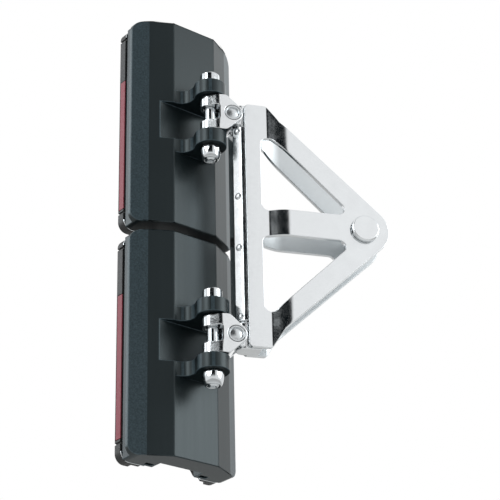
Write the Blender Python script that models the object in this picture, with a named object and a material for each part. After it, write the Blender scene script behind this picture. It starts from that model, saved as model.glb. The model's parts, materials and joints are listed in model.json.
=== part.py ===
"""Mainsail headboard car: two track cars, two toggles and a headboard bracket.

The cars ride one above the other on a mast track. Each car carries a toggle on an upright bolt, and
the two toggles hold a triangular bracket that takes the head of the sail.

Frame: +Z runs up the track and -Y points aft, away from the mast. The origin lies on the floor of the
track channel, half way between the cars. A bracket frame has +X along the bracket, away from the
bolts, and -Y towards its near side. Lengths are in metres.
"""

import math

import bmesh
import bpy
from mathutils import Matrix, Vector

MM = 0.001

# Fits between neighbouring pieces, and how far a cutter runs past what it cuts
FIT = 0.3 * MM
CUT_PAST = 4.0 * MM

# Fineness of round shapes
ARC_STEP = math.radians(15.0)
FINE_SIDES = 24
SMALL_SIDES = 12
BALL_SIDES = 6
BALL_BANDS = 3
SMOOTH_ANGLE = math.radians(32.0)

# Car section, measured from the aft flat towards the mast
CAR_LENGTH = 158.6 * MM
CAR_SPACING = 6.4 * MM
FLAT_HALF_WIDTH = 17.5 * MM
INNER_BEVEL_RUN = 15.5 * MM
INNER_BEVEL_DROP = 8.0 * MM
OUTER_BEVEL_RUN = 10.1 * MM
OUTER_BEVEL_DROP = 7.0 * MM
SIDE_HEIGHT = 3.0 * MM
SIDE_CORNER = 7.2 * MM
SKIRT_INSET = 3.6 * MM
SKIRT_HEIGHT = 8.0 * MM
CHANNEL_ROOF = 16.5 * MM
CHANNEL_HALF_WIDTH = 16.5 * MM

# Recess beside the channel in each end of the car body
END_RECESS_WIDTH = 6.0 * MM
END_RECESS_HEIGHT = 3.6 * MM
END_RECESS_DEPTH = 4.0 * MM
END_RECESS_WALL = 2.0 * MM

# Retainer plates and ball guides under the car body
RETAINER_THICKNESS = 0.8 * MM
GUIDE_INSET = 2.9 * MM
GUIDE_DEPTH = 6.2 * MM
GUIDE_LIP = 1.0 * MM
GUIDE_CORNER = 6.5 * MM
LEAD_IN_WIDTH = 7.0 * MM
LEAD_IN_LENGTH = 10.0 * MM
GUIDE_GROOVE_WIDTH = 8.0 * MM
GUIDE_GROOVE_DEPTH = 3.6 * MM
GUIDE_GROOVE_WALL = 4.5 * MM

# Coloured strip let into the outer side of each guide, and the joint lines past its ends
STRIPE_LENGTH = 101.0 * MM
STRIPE_START = 15.3 * MM
STRIPE_THICKNESS = 0.8 * MM
STRIPE_MARGIN = 0.9 * MM
JOINT_LINE_WIDTH = 1.2 * MM
JOINT_LINE_DEPTH = 1.0 * MM
LOWER_JOINT_INSET = 12.6 * MM
UPPER_JOINT_INSET = 8.0 * MM

# Rows of balls that run on the track
BALL_DIAMETER = 7.0 * MM
BALL_PITCH = 7.05 * MM
BALL_NECK_DIAMETER = 2.6 * MM
BALL_ROW_LENGTH = 113.0 * MM
BALL_REACH = 1.7 * MM

# Screws that hold the guides and retainers to the car body
SCREW_DIAMETER = 3.0 * MM
SCREW_HEAD_DIAMETER = 5.6 * MM
SCREW_HEAD_HEIGHT = 2.0 * MM
SCREW_SOCKET_FLATS = 2.5 * MM
SCREW_SOCKET_DEPTH = 1.2 * MM
SCREW_GRIP = 8.0 * MM
SCREW_INSET = 27.0 * MM

# Clevis ears and the milled pocket between them
BOLT_OFFSET = 18.0 * MM
EAR_BOSS_RADIUS = 11.0 * MM
EAR_THICKNESS = 10.3 * MM
EAR_ROOT_INSET = 0.5 * MM
EAR_EMBED = 6.0 * MM
CLEVIS_OPENING = 28.6 * MM
POCKET_DEPTH = 4.5 * MM

# Bolt and lock nut
BOLT_DIAMETER = 8.0 * MM
BOLT_HEAD_DIAMETER = 13.4 * MM
BOLT_HEAD_HEIGHT = 8.1 * MM
BOLT_CHAMFER = 0.9 * MM
BOLT_END_STANDOUT = 1.5 * MM
BOLT_SOCKET_FLATS = 6.0 * MM
BOLT_SOCKET_DEPTH = 4.0 * MM
NUT_FLATS = 13.6 * MM
NUT_HEIGHT = 10.3 * MM
NUT_SHOULDER = 2.2 * MM
NUT_END_DIAMETER = 9.8 * MM

# Toggle: a barrel on the bolt, with two cheeks round the bracket's eye
TOGGLE_END_PLAY = 0.7 * MM
TOGGLE_REACH = 13.7 * MM
BARREL_RADIUS = 7.0 * MM
CHEEK_THICKNESS = 3.25 * MM
CHEEK_FULL_REACH = 3.2 * MM
CHEEK_NOSE_RADIUS = 7.2 * MM
CHEEK_SHOULDER_RADIUS = 4.0 * MM
CHEEK_SHOULDER_REACH = 8.0 * MM
WINDOW_HEIGHT = 11.3 * MM
WINDOW_REACH = 4.6 * MM
WINDOW_CORNER = 1.8 * MM
TOGGLE_PIN_DIAMETER = 11.0 * MM
TOGGLE_PIN_RECESS = 0.1 * MM
PIN_DISH_DIAMETER = 9.2 * MM
PIN_DISH_FLOOR_DIAMETER = 4.4 * MM
PIN_DISH_DEPTH = 1.5 * MM

# Spine bar of the bracket
BAR_THICKNESS = 12.0 * MM
BAR_DEPTH = 16.3 * MM
BAR_SETBACK = 1.5 * MM
BAR_OVERHANG = 8.5 * MM
NOSE_SETBACK = 0.9 * MM
NOSE_NEAR_CHAMFER = 5.0 * MM
NOSE_FAR_CHAMFER = 1.0 * MM
NOSE_END_INSET = 10.0 * MM
EYE_RADIUS = 7.0 * MM
EYE_CLEARANCE = 0.35 * MM
EYE_FACE_RELIEF = 0.1 * MM
CHEEK_CLEARANCE = 0.25 * MM

# Rivets along the nose of the spine bar
RIVET_HEAD_DIAMETER = 5.6 * MM
RIVET_HEAD_HEIGHT = 2.0 * MM
RIVET_SHANK_DIAMETER = 2.6 * MM
RIVET_SHANK_LENGTH = 3.0 * MM
RIVET_SEAT_DEPTH = 0.9 * MM
INNER_RIVET_HEIGHT = 19.2 * MM
OUTER_RIVET_INSET = 13.2 * MM

# Bracket plates
PLATE_THICKNESS = 3.0 * MM
PLATE_BAR_GAP = 0.2 * MM
PLATE_START_INSET = 0.8 * MM
PLATE_END_INSET = 0.4 * MM
PLATE_CORNER = 3.0 * MM
PLATE_TOP_WIDTH = 15.5 * MM
SHOULDER_RUN = 8.5 * MM
SHOULDER_DROP = 13.5 * MM
SHOULDER_ROUND = 3.0 * MM
JOGGLE_START = 16.0 * MM
JOGGLE_RUN = 6.0 * MM
JOGGLE_OFFSET = 4.3 * MM
APEX_REACH = 103.0 * MM
APEX_RADIUS = 17.5 * MM
SLOT_START = 11.0 * MM
SLOT_ROUND = 4.6 * MM
MIDDLE_ARM_HALF_WIDTH = 9.7 * MM
ARM_RISE = 18.1 * MM
ARM_RUN = 22.5 * MM

# Apex pin, its washer and its retaining clip
APEX_PIN_DIAMETER = 12.0 * MM
APEX_HEAD_DIAMETER = 19.2 * MM
APEX_HEAD_HEIGHT = 3.0 * MM
APEX_HEAD_BEVEL = 0.9 * MM
WASHER_DIAMETER = 18.0 * MM
WASHER_THICKNESS = 1.5 * MM
CLIP_DIAMETER = 16.0 * MM
CLIP_THICKNESS = 1.0 * MM
CLIP_OPENING = math.radians(70.0)
CLIP_GROOVE_DEPTH = 1.0 * MM
APEX_PIN_END = 2.5 * MM

# Pose of the bracket: its turn from straight aft towards +X
BRACKET_SWING = math.radians(66.5)

# Worked out from the sizes above
HALF_LENGTH = CAR_LENGTH / 2
CLEVIS_HEIGHT = (CAR_SPACING + CAR_LENGTH) / 2
BEVEL_BREAK_X = FLAT_HALF_WIDTH + INNER_BEVEL_RUN
CAR_HALF_WIDTH = BEVEL_BREAK_X + OUTER_BEVEL_RUN
SKIRT_HALF_WIDTH = CAR_HALF_WIDTH - SKIRT_INSET
GUIDE_HALF_WIDTH = CAR_HALF_WIDTH - GUIDE_INSET
EDGE_DEPTH = INNER_BEVEL_DROP + OUTER_BEVEL_DROP
SIDE_DEPTH = EDGE_DEPTH + SIDE_HEIGHT
BODY_DEPTH = SIDE_DEPTH + SKIRT_HEIGHT
RETAINER_TOP = BODY_DEPTH + FIT
GUIDE_TOP = RETAINER_TOP + RETAINER_THICKNESS + FIT
GUIDE_BOTTOM = GUIDE_TOP + GUIDE_DEPTH
GUIDE_START = CHANNEL_HALF_WIDTH + GUIDE_LIP
GROOVE_FLOOR = GUIDE_BOTTOM - GUIDE_GROOVE_DEPTH
GROOVE_START = GUIDE_START + GUIDE_GROOVE_WALL
SCREW_X = GROOVE_START + GUIDE_GROOVE_WIDTH / 2
SCREW_Z = HALF_LENGTH - SCREW_INSET
BALL_RADIUS = BALL_DIAMETER / 2
BALL_X = CHANNEL_HALF_WIDTH - BALL_REACH + BALL_RADIUS
BALL_DEPTH = RETAINER_TOP + RETAINER_THICKNESS / 2
EAR_INNER = CLEVIS_OPENING / 2
EAR_OUTER = EAR_INNER + EAR_THICKNESS
NUT_TOP = EAR_OUTER + FIT
NUT_END = NUT_TOP + NUT_HEIGHT
TOGGLE_HALF_HEIGHT = EAR_INNER - TOGGLE_END_PLAY
SLOT_HALF_WIDTH = BAR_THICKNESS / 2 + CHEEK_CLEARANCE
CHEEK_OUTER = SLOT_HALF_WIDTH + CHEEK_THICKNESS
BAR_ROUND = BAR_THICKNESS / 2
BAR_START = TOGGLE_REACH + BAR_SETBACK
BAR_ROUND_CENTRE = BAR_START + BAR_ROUND
BAR_HALF_HEIGHT = CLEVIS_HEIGHT + BAR_OVERHANG
PLATE_START = BAR_ROUND_CENTRE + PLATE_START_INSET
PLATE_INNER = BAR_THICKNESS / 2 + PLATE_BAR_GAP
NOSE_START = TOGGLE_REACH + NOSE_SETBACK
NOSE_HALF_WIDTH = PLATE_INNER + PLATE_THICKNESS
NOSE_HALF_HEIGHT = CLEVIS_HEIGHT - NOSE_END_INSET
ARM_OUTER = PLATE_INNER + JOGGLE_OFFSET + PLATE_THICKNESS
PLATE_HALF_HEIGHT = BAR_HALF_HEIGHT - PLATE_END_INSET


class Finish:
    """Colour, roughness and metallic value of one kind of surface."""

    def __init__(self, colour, roughness, metallic):
        self.colour = colour
        self.roughness = roughness
        self.metallic = metallic


ANODISED = Finish((0.030, 0.036, 0.038, 1.0), 0.42, 0.7)
BLACK_PLASTIC = Finish((0.018, 0.018, 0.020, 1.0), 0.5, 0.0)
RED_STRIP = Finish((0.30, 0.045, 0.060, 1.0), 0.45, 0.0)
WHITE_BALL = Finish((0.70, 0.69, 0.66, 1.0), 0.35, 0.0)
POLISHED_STEEL = Finish((0.78, 0.79, 0.80, 1.0), 0.08, 1.0)
BRIGHT_STEEL = Finish((0.66, 0.67, 0.69, 1.0), 0.22, 1.0)


# Outlines

def arc(centre, radius, start, end):
    """Points along a circle between two angles, ends included."""
    steps = max(1, math.ceil(abs(end - start) / ARC_STEP - 1e-6))
    points = []
    for step in range(steps + 1):
        angle = start + (end - start) * step / steps
        x = centre[0] + radius * math.cos(angle)
        y = centre[1] + radius * math.sin(angle)
        points.append((x, y))
    return points


def arc_between(centre, start, end):
    """Points along the shorter way round a circle from one of its points to another."""
    first = math.atan2(start[1] - centre[1], start[0] - centre[0])
    last = math.atan2(end[1] - centre[1], end[0] - centre[0])
    turn = (last - first + math.pi) % math.tau - math.pi
    radius = math.dist(centre, start)
    return arc(centre, radius, first, first + turn)


def rounded(corners):
    """Closed outline through (point, radius) corners, each rounded by its own radius."""
    outline = []
    for index, (point, radius) in enumerate(corners):
        here = Vector(point)
        before = (Vector(corners[index - 1][0]) - here).normalized()
        after = (Vector(corners[(index + 1) % len(corners)][0]) - here).normalized()
        if radius <= 0.0:
            outline.append(tuple(here))
            continue
        half = before.angle(after) / 2
        centre = here + (before + after).normalized() * radius / math.sin(half)
        start = here + before * radius / math.tan(half)
        end = here + after * radius / math.tan(half)
        outline += arc_between(centre, start, end)
    return outline


def rectangle(low, high):
    """Corners of an upright rectangle between two opposite corners."""
    return [(low[0], low[1]), (high[0], low[1]), (high[0], high[1]), (low[0], high[1])]


def mirrored(half):
    """Outline symmetric about its second axis, from its half on the positive side."""
    return half + [(-x, y) for x, y in reversed(half)]


def from_flat(depth):
    """Y of a place that lies the given depth inside the car's aft flat."""
    return depth - CHANNEL_ROOF


# Solids

def to_object(bm):
    """Link an edit mesh to the scene as an object with its faces pointing out."""
    bmesh.ops.recalc_face_normals(bm, faces=bm.faces)
    mesh = bpy.data.meshes.new("shape")
    bm.to_mesh(mesh)
    bm.free()
    shape = bpy.data.objects.new("shape", mesh)
    bpy.context.scene.collection.objects.link(shape)
    return shape


def prism(outline, low, high, axis="Z"):
    """Extrude an outline of (x, y) points along Z, or of (x, z) points along Y."""
    bm = bmesh.new()
    if axis == "Z":
        ring = [bm.verts.new((a, b, low)) for a, b in outline]
        travel = Vector((0.0, 0.0, high - low))
    else:
        ring = [bm.verts.new((a, low, b)) for a, b in outline]
        travel = Vector((0.0, high - low, 0.0))
    base = bm.faces.new(ring)
    grown = bmesh.ops.extrude_face_region(bm, geom=[base], use_keep_orig=True)
    moved = [item for item in grown["geom"] if isinstance(item, bmesh.types.BMVert)]
    bmesh.ops.translate(bm, verts=moved, vec=travel)
    return to_object(bm)


def box(low, high):
    """Upright box between two opposite corners."""
    return prism(rectangle(low[:2], high[:2]), low[2], high[2])


def turned(profile, sides, place=None):
    """Spin (radius, height) points round Z, join the ends, and move the solid by a matrix."""
    bm = bmesh.new()
    points = [bm.verts.new((radius, 0.0, height)) for radius, height in profile]
    edges = [bm.edges.new(pair) for pair in zip(points, points[1:])]
    if profile[0][0] > 0.0:
        edges.append(bm.edges.new((points[-1], points[0])))
    bmesh.ops.spin(
        bm,
        geom=points + edges,
        cent=(0.0, 0.0, 0.0),
        axis=(0.0, 0.0, 1.0),
        angle=math.tau,
        steps=sides,
        use_merge=True,
    )
    bmesh.ops.remove_doubles(bm, verts=bm.verts, dist=1e-7)
    if place:
        bmesh.ops.transform(bm, matrix=place, verts=bm.verts)
    return to_object(bm)


def cylinder(radius, low, high, sides, place=None):
    """Solid cylinder along Z between two heights."""
    profile = [(0.0, high), (radius, high), (radius, low), (0.0, low)]
    return turned(profile, sides, place)


def combine(shape, tool, operation):
    """Apply a Boolean of the tool to the shape, and remove the tool."""
    modifier = shape.modifiers.new("combine", "BOOLEAN")
    modifier.operation = operation
    modifier.solver = "EXACT"
    modifier.object = tool
    depsgraph = bpy.context.evaluated_depsgraph_get()
    result = bpy.data.meshes.new_from_object(shape.evaluated_get(depsgraph))
    shape.modifiers.clear()
    shape.data = result
    bpy.data.objects.remove(tool)
    return shape


def cut(shape, *tools):
    """Take each tool away from the shape."""
    for tool in tools:
        combine(shape, tool, "DIFFERENCE")
    return shape


def join(shape, *tools):
    """Fuse each tool to the shape."""
    for tool in tools:
        combine(shape, tool, "UNION")
    return shape


def across(x, z, facing=1.0):
    """Matrix that lays a turned shape's axis along Y, its top towards +Y or -Y."""
    return Matrix.Translation((x, 0.0, z)) @ Matrix.Rotation(-facing * math.pi / 2, 4, "X")


def along_y(x, depth, z):
    """Matrix for a screw whose head faces the mast, with its seat at a depth from the flat."""
    return Matrix.Translation((0.0, from_flat(depth), 0.0)) @ across(x, z)


def hexagon(flats):
    """Six corners of a hexagon of the given width across flats."""
    radius = flats / math.sqrt(3.0)
    return [(radius * math.cos(k * math.pi / 3), radius * math.sin(k * math.pi / 3)) for k in range(6)]


# Nodes

def new_material(name, finish):
    """Principled material with one finish's values."""
    material = bpy.data.materials.new(name)
    material.use_nodes = True
    shader = material.node_tree.nodes["Principled BSDF"]
    shader.inputs["Base Color"].default_value = finish.colour
    shader.inputs["Roughness"].default_value = finish.roughness
    shader.inputs["Metallic"].default_value = finish.metallic
    material.diffuse_color = finish.colour
    return material


def place_node(name, shape, frame, finish, location=(0.0, 0.0, 0.0)):
    """Make a named piece from a copy of a shape, with its own material, on a frame."""
    mesh = shape.data.copy()
    mesh.name = name
    mesh.materials.clear()
    mesh.materials.append(new_material(name, finish))
    mesh.shade_smooth()
    mesh.set_sharp_from_angle(angle=SMOOTH_ANGLE)
    node = bpy.data.objects.new(name, mesh)
    bpy.context.scene.collection.objects.link(node)
    node.parent = frame
    node.location = location
    return node


def new_frame(name, location, parent=None, turn=0.0):
    """Empty that carries the pieces of one body or marks a joint axis."""
    frame = bpy.data.objects.new(name, None)
    bpy.context.scene.collection.objects.link(frame)
    frame.parent = parent
    frame.location = location
    frame.rotation_euler = (0.0, 0.0, turn)
    return frame


# Car pieces, in a frame at the middle of the car on the channel floor

def ear_shape(low, high):
    """One clevis ear: a boss round the bolt that flares into the aft flat."""
    root = FLAT_HALF_WIDTH - EAR_ROOT_INSET
    flare = (root ** 2 + BOLT_OFFSET ** 2 - EAR_BOSS_RADIUS ** 2) / (2 * (BOLT_OFFSET + EAR_BOSS_RADIUS))
    boss = Vector((0.0, from_flat(-BOLT_OFFSET)))
    flare_centre = Vector((root, from_flat(-flare)))
    touch = boss + (flare_centre - boss).normalized() * EAR_BOSS_RADIUS
    tip = boss - Vector((0.0, EAR_BOSS_RADIUS))
    half = [(root, from_flat(EAR_EMBED))]
    half += arc_between(flare_centre, (root, from_flat(0.0)), touch)
    half += arc_between(boss, touch, tip)[1:-1]
    outline = half + [tuple(tip)] + [(-x, y) for x, y in reversed(half)]
    return prism(outline, low, high)


def ball_groove(side):
    """Cutter for the groove that one ball row runs in."""
    half = BALL_ROW_LENGTH / 2 + FIT
    place = Matrix.Translation((side * BALL_X, from_flat(BALL_DEPTH), 0.0))
    return cylinder(BALL_RADIUS + FIT, -half, half, SMALL_SIDES, place)


def screw_holes(side, low, high):
    """Cutters for the two screw holes of one guide, between two depths from the flat."""
    radius = SCREW_DIAMETER / 2 + FIT
    holes = []
    for z in (-SCREW_Z, SCREW_Z):
        holes.append(cylinder(radius, low, high, SMALL_SIDES, along_y(side * SCREW_X, 0.0, z)))
    return holes


def car_body_shape():
    """Extruded body with its track channel, clevis ears, pocket and bolt hole."""
    half = [
        (FLAT_HALF_WIDTH, from_flat(0.0)),
        (BEVEL_BREAK_X, from_flat(INNER_BEVEL_DROP)),
        (CAR_HALF_WIDTH, from_flat(EDGE_DEPTH)),
        (CAR_HALF_WIDTH, from_flat(SIDE_DEPTH)),
        (SKIRT_HALF_WIDTH, from_flat(SIDE_DEPTH)),
        (SKIRT_HALF_WIDTH, from_flat(BODY_DEPTH)),
        (CHANNEL_HALF_WIDTH, from_flat(BODY_DEPTH)),
        (CHANNEL_HALF_WIDTH, from_flat(CHANNEL_ROOF)),
    ]
    past = HALF_LENGTH + CUT_PAST
    body = prism(mirrored(half), -past, past)
    corners = rectangle((-CAR_HALF_WIDTH, -HALF_LENGTH), (CAR_HALF_WIDTH, HALF_LENGTH))
    side_view = rounded([(corner, SIDE_CORNER) for corner in corners])
    combine(body, prism(side_view, from_flat(-CUT_PAST), from_flat(GUIDE_BOTTOM), "Y"), "INTERSECT")
    inside = EAR_INNER - CUT_PAST
    join(body, ear_shape(-EAR_OUTER, -inside), ear_shape(inside, EAR_OUTER))
    reach = CAR_HALF_WIDTH + CUT_PAST
    above = from_flat(-BOLT_OFFSET - EAR_BOSS_RADIUS - CUT_PAST)
    pocket = box((-reach, above, -EAR_INNER), (reach, from_flat(POCKET_DEPTH), EAR_INNER))
    bolt_axis = Matrix.Translation((0.0, from_flat(-BOLT_OFFSET), 0.0))
    bore_end = EAR_OUTER + CUT_PAST
    cut(body, pocket, cylinder(BOLT_DIAMETER / 2 + FIT, -bore_end, bore_end, FINE_SIDES, bolt_axis))
    for side in (-1.0, 1.0):
        cut(body, ball_groove(side))
        cut(body, *screw_holes(side, RETAINER_TOP - SCREW_GRIP - 2 * FIT, GUIDE_BOTTOM))
        cut(body, *end_recesses(side))
    return body


def end_recesses(side):
    """Cutters for the recess beside the channel in both ends of the body."""
    inner = CHANNEL_HALF_WIDTH + END_RECESS_WALL
    edges = sorted((side * inner, side * (inner + END_RECESS_WIDTH)))
    bottom = from_flat(BODY_DEPTH - END_RECESS_WALL)
    top = bottom - END_RECESS_HEIGHT
    cutters = []
    for end in (-1.0, 1.0):
        span = sorted((end * (HALF_LENGTH - END_RECESS_DEPTH), end * (HALF_LENGTH + CUT_PAST)))
        cutters.append(box((edges[0], top, span[0]), (edges[1], bottom, span[1])))
    return cutters


def guide_outline(side, start):
    """Side view along Y of a guide or retainer, with its outer corners rounded."""
    corners = [
        ((side * start, -HALF_LENGTH), 0.0),
        ((side * GUIDE_HALF_WIDTH, -HALF_LENGTH), GUIDE_CORNER),
        ((side * GUIDE_HALF_WIDTH, HALF_LENGTH), GUIDE_CORNER),
        ((side * start, HALF_LENGTH), 0.0),
    ]
    return rounded(corners)


def retainer_shape(side):
    """Thin steel plate between the car body and one guide."""
    low = from_flat(RETAINER_TOP)
    start = BALL_X + BALL_RADIUS + FIT
    plate = prism(guide_outline(side, start), low, low + RETAINER_THICKNESS, "Y")
    return cut(plate, *screw_holes(side, BODY_DEPTH, GUIDE_BOTTOM))


def side_box(side, inner, depths, heights):
    """Box that reaches out through a guide's outer side from an inner X."""
    edges = sorted((side * inner, side * (GUIDE_HALF_WIDTH + CUT_PAST)))
    low = (edges[0], from_flat(depths[0]), heights[0])
    high = (edges[1], from_flat(depths[1]), heights[1])
    return box(low, high)


def lead_ins(side):
    """Cutters that flare the inner edge of a guide at both ends, where the track enters."""
    flare = LEAD_IN_WIDTH / LEAD_IN_LENGTH
    cutters = []
    for end in (-1.0, 1.0):
        wedge = [
            (side * (GUIDE_START - CUT_PAST * flare), end * (HALF_LENGTH - LEAD_IN_LENGTH - CUT_PAST)),
            (side * (GUIDE_START + LEAD_IN_WIDTH + CUT_PAST * flare), end * (HALF_LENGTH + CUT_PAST)),
            (side * (GUIDE_START - CUT_PAST * flare), end * (HALF_LENGTH + CUT_PAST)),
        ]
        cutters.append(prism(wedge, from_flat(BODY_DEPTH), from_flat(GUIDE_BOTTOM + CUT_PAST), "Y"))
    return cutters


def guide_shape(side):
    """Plastic ball guide with lead-ins, its rear groove, strip seat and joint lines."""
    guide = prism(guide_outline(side, GUIDE_START), from_flat(GUIDE_TOP), from_flat(GUIDE_BOTTOM), "Y")
    past = HALF_LENGTH + CUT_PAST
    edges = sorted((side * GROOVE_START, side * (GROOVE_START + GUIDE_GROOVE_WIDTH)))
    below = from_flat(GUIDE_BOTTOM + CUT_PAST)
    cut(guide, *lead_ins(side))
    cut(guide, ball_groove(side))
    cut(guide, box((edges[0], from_flat(GROOVE_FLOOR), -past), (edges[1], below, past)))
    cut(guide, *screw_holes(side, BODY_DEPTH, GUIDE_BOTTOM))
    seat_bottom = STRIPE_START - FIT - HALF_LENGTH
    seat_top = seat_bottom + STRIPE_LENGTH + 2 * FIT
    seat_x = GUIDE_HALF_WIDTH - STRIPE_THICKNESS - FIT
    seat_depths = (RETAINER_TOP, GUIDE_BOTTOM - STRIPE_MARGIN + FIT)
    cut(guide, side_box(side, seat_x, seat_depths, (seat_bottom, seat_top)))
    for z in (LOWER_JOINT_INSET - HALF_LENGTH, HALF_LENGTH - UPPER_JOINT_INSET):
        line = (z - JOINT_LINE_WIDTH / 2, z + JOINT_LINE_WIDTH / 2)
        line_depths = (RETAINER_TOP, GUIDE_BOTTOM + CUT_PAST)
        cut(guide, side_box(side, GUIDE_HALF_WIDTH - JOINT_LINE_DEPTH, line_depths, line))
    return guide


def stripe_shape(side):
    """Coloured strip that lies flush in the outer side of a guide."""
    edges = sorted((side * (GUIDE_HALF_WIDTH - STRIPE_THICKNESS), side * GUIDE_HALF_WIDTH))
    bottom = STRIPE_START - HALF_LENGTH
    low = (edges[0], from_flat(GUIDE_TOP), bottom)
    high = (edges[1], from_flat(GUIDE_BOTTOM - STRIPE_MARGIN), bottom + STRIPE_LENGTH)
    return box(low, high)


def ball_row_shape(side):
    """Balls strung on a thin rod, as one turned piece along the car."""
    count = int(BALL_ROW_LENGTH / BALL_PITCH)
    first = -(count - 1) / 2 * BALL_PITCH
    neck = math.asin(BALL_NECK_DIAMETER / BALL_DIAMETER)
    angles = [neck + (math.pi - 2 * neck) * k / BALL_BANDS for k in range(BALL_BANDS + 1)]
    profile = [(0.0, first - BALL_RADIUS * math.cos(neck))]
    for index in range(count):
        middle = first + index * BALL_PITCH
        for angle in angles:
            profile.append((BALL_RADIUS * math.sin(angle), middle - BALL_RADIUS * math.cos(angle)))
    profile.append((0.0, -profile[0][1]))
    place = Matrix.Translation((side * BALL_X, from_flat(BALL_DEPTH), 0.0))
    return turned(profile, BALL_SIDES, place)


def guide_screw_shape():
    """Socket screw along Y, with the underside of its head at y = 0 and its head towards +Y."""
    radius = SCREW_DIAMETER / 2
    grip = GROOVE_FLOOR + FIT - RETAINER_TOP + SCREW_GRIP
    profile = [
        (0.0, SCREW_HEAD_HEIGHT),
        (SCREW_HEAD_DIAMETER / 2, SCREW_HEAD_HEIGHT),
        (SCREW_HEAD_DIAMETER / 2, 0.0),
        (radius, 0.0),
        (radius, -grip),
        (0.0, -grip),
    ]
    screw = turned(profile, SMALL_SIDES)
    floor = SCREW_HEAD_HEIGHT - SCREW_SOCKET_DEPTH
    cut(screw, prism(hexagon(SCREW_SOCKET_FLATS), floor, SCREW_HEAD_HEIGHT + CUT_PAST))
    screw.data.transform(across(0.0, 0.0))
    return screw


def bolt_shape():
    """Clevis bolt along Z with a plain round head above the upper ear."""
    seat = EAR_OUTER + FIT
    top = seat + BOLT_HEAD_HEIGHT
    end = -NUT_END - BOLT_END_STANDOUT
    head = BOLT_HEAD_DIAMETER / 2
    shank = BOLT_DIAMETER / 2
    profile = [
        (0.0, top),
        (head - BOLT_CHAMFER, top),
        (head, top - BOLT_CHAMFER),
        (head, seat),
        (shank, seat),
        (shank, end + BOLT_CHAMFER),
        (shank - BOLT_CHAMFER, end),
        (0.0, end),
    ]
    bolt = turned(profile, FINE_SIDES)
    return cut(bolt, prism(hexagon(BOLT_SOCKET_FLATS), top - BOLT_SOCKET_DEPTH, top + CUT_PAST))


def nut_shape():
    """Lock nut below the lower ear: a hexagon rounded off to a dome towards the bolt's end."""
    outer = NUT_FLATS / math.sqrt(3.0) + FIT
    end = NUT_END_DIAMETER / 2
    shoulder = -NUT_TOP - NUT_SHOULDER
    profile = [(0.0, -NUT_TOP + CUT_PAST), (outer + CUT_PAST, -NUT_TOP + CUT_PAST)]
    profile.append((outer + CUT_PAST, shoulder))
    for across_part, along_part in arc((0.0, 0.0), 1.0, 0.0, math.pi / 2):
        radius = end + (outer - end) * across_part
        profile.append((radius, shoulder - (NUT_HEIGHT - NUT_SHOULDER) * along_part))
    profile += [(end, -NUT_END - CUT_PAST), (0.0, -NUT_END - CUT_PAST)]
    nut = prism(hexagon(NUT_FLATS), -NUT_END, -NUT_TOP)
    combine(nut, turned(profile, FINE_SIDES), "INTERSECT")
    return cut(nut, cylinder(BOLT_DIAMETER / 2 + FIT, -NUT_END - CUT_PAST, CUT_PAST, FINE_SIDES))


def build_car(prefix, frame, shapes):
    """Place one car's pieces on its frame."""
    place_node(f"{prefix}_car_body", shapes["body"], frame, ANODISED)
    for side, label in ((-1.0, "left"), (1.0, "right")):
        place_node(f"{prefix}_retainer_{label}", shapes["retainer", label], frame, BRIGHT_STEEL)
        place_node(f"{prefix}_guide_{label}", shapes["guide", label], frame, BLACK_PLASTIC)
        place_node(f"{prefix}_stripe_{label}", shapes["stripe", label], frame, RED_STRIP)
        place_node(f"{prefix}_ball_row_{label}", shapes["balls", label], frame, WHITE_BALL)
        for z, end in ((SCREW_Z, "top"), (-SCREW_Z, "bottom")):
            seat = (side * SCREW_X, from_flat(GROOVE_FLOOR + FIT), z)
            place_node(f"{prefix}_guide_screw_{label}_{end}", shapes["screw"], frame, BRIGHT_STEEL, seat)
    bolt_place = (0.0, from_flat(-BOLT_OFFSET), 0.0)
    place_node(f"{prefix}_bolt", shapes["bolt"], frame, BRIGHT_STEEL, bolt_place)
    place_node(f"{prefix}_nut", shapes["nut"], frame, BRIGHT_STEEL, bolt_place)


def car_shapes():
    """Every shape that the two cars share."""
    shapes = {
        "body": car_body_shape(),
        "screw": guide_screw_shape(),
        "bolt": bolt_shape(),
        "nut": nut_shape(),
    }
    for side, label in ((-1.0, "left"), (1.0, "right")):
        shapes["retainer", label] = retainer_shape(side)
        shapes["guide", label] = guide_shape(side)
        shapes["stripe", label] = stripe_shape(side)
        shapes["balls", label] = ball_row_shape(side)
    return shapes


# Toggle pieces, in a frame on the bolt axis with +X towards the bracket

def cheek_outline():
    """Side view of the toggle: a round nose on the pin that widens to the barrel and past it."""
    nose = Vector((TOGGLE_REACH, 0.0))
    shoulder_z = TOGGLE_HALF_HEIGHT - CHEEK_SHOULDER_RADIUS
    shoulder = Vector((CHEEK_SHOULDER_REACH, shoulder_z))
    link = shoulder - nose
    lean = math.atan2(link.y, link.x)
    lean -= math.acos((CHEEK_NOSE_RADIUS - CHEEK_SHOULDER_RADIUS) / link.length)
    upper = arc(nose, CHEEK_NOSE_RADIUS, 0.0, lean)[1:]
    upper += arc(shoulder, CHEEK_SHOULDER_RADIUS, lean, math.pi / 2)
    upper.append((-BARREL_RADIUS - CUT_PAST, TOGGLE_HALF_HEIGHT))
    lower = [(x, -z) for x, z in reversed(upper)]
    return [(TOGGLE_REACH + CHEEK_NOSE_RADIUS, 0.0)] + upper + lower


def toggle_plan():
    """Plan of the toggle: a round barrel whose sides spread from it to the full cheek width."""
    spread = Vector((CHEEK_FULL_REACH, CHEEK_OUTER))
    leave = math.atan2(spread.y, spread.x) + math.acos(BARREL_RADIUS / spread.length)
    end = TOGGLE_REACH + CHEEK_NOSE_RADIUS + CUT_PAST
    outline = [(end, -CHEEK_OUTER), (end, CHEEK_OUTER), tuple(spread)]
    outline += arc((0.0, 0.0), BARREL_RADIUS, leave, math.tau - leave)
    return outline + [(CHEEK_FULL_REACH, -CHEEK_OUTER)]


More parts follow.
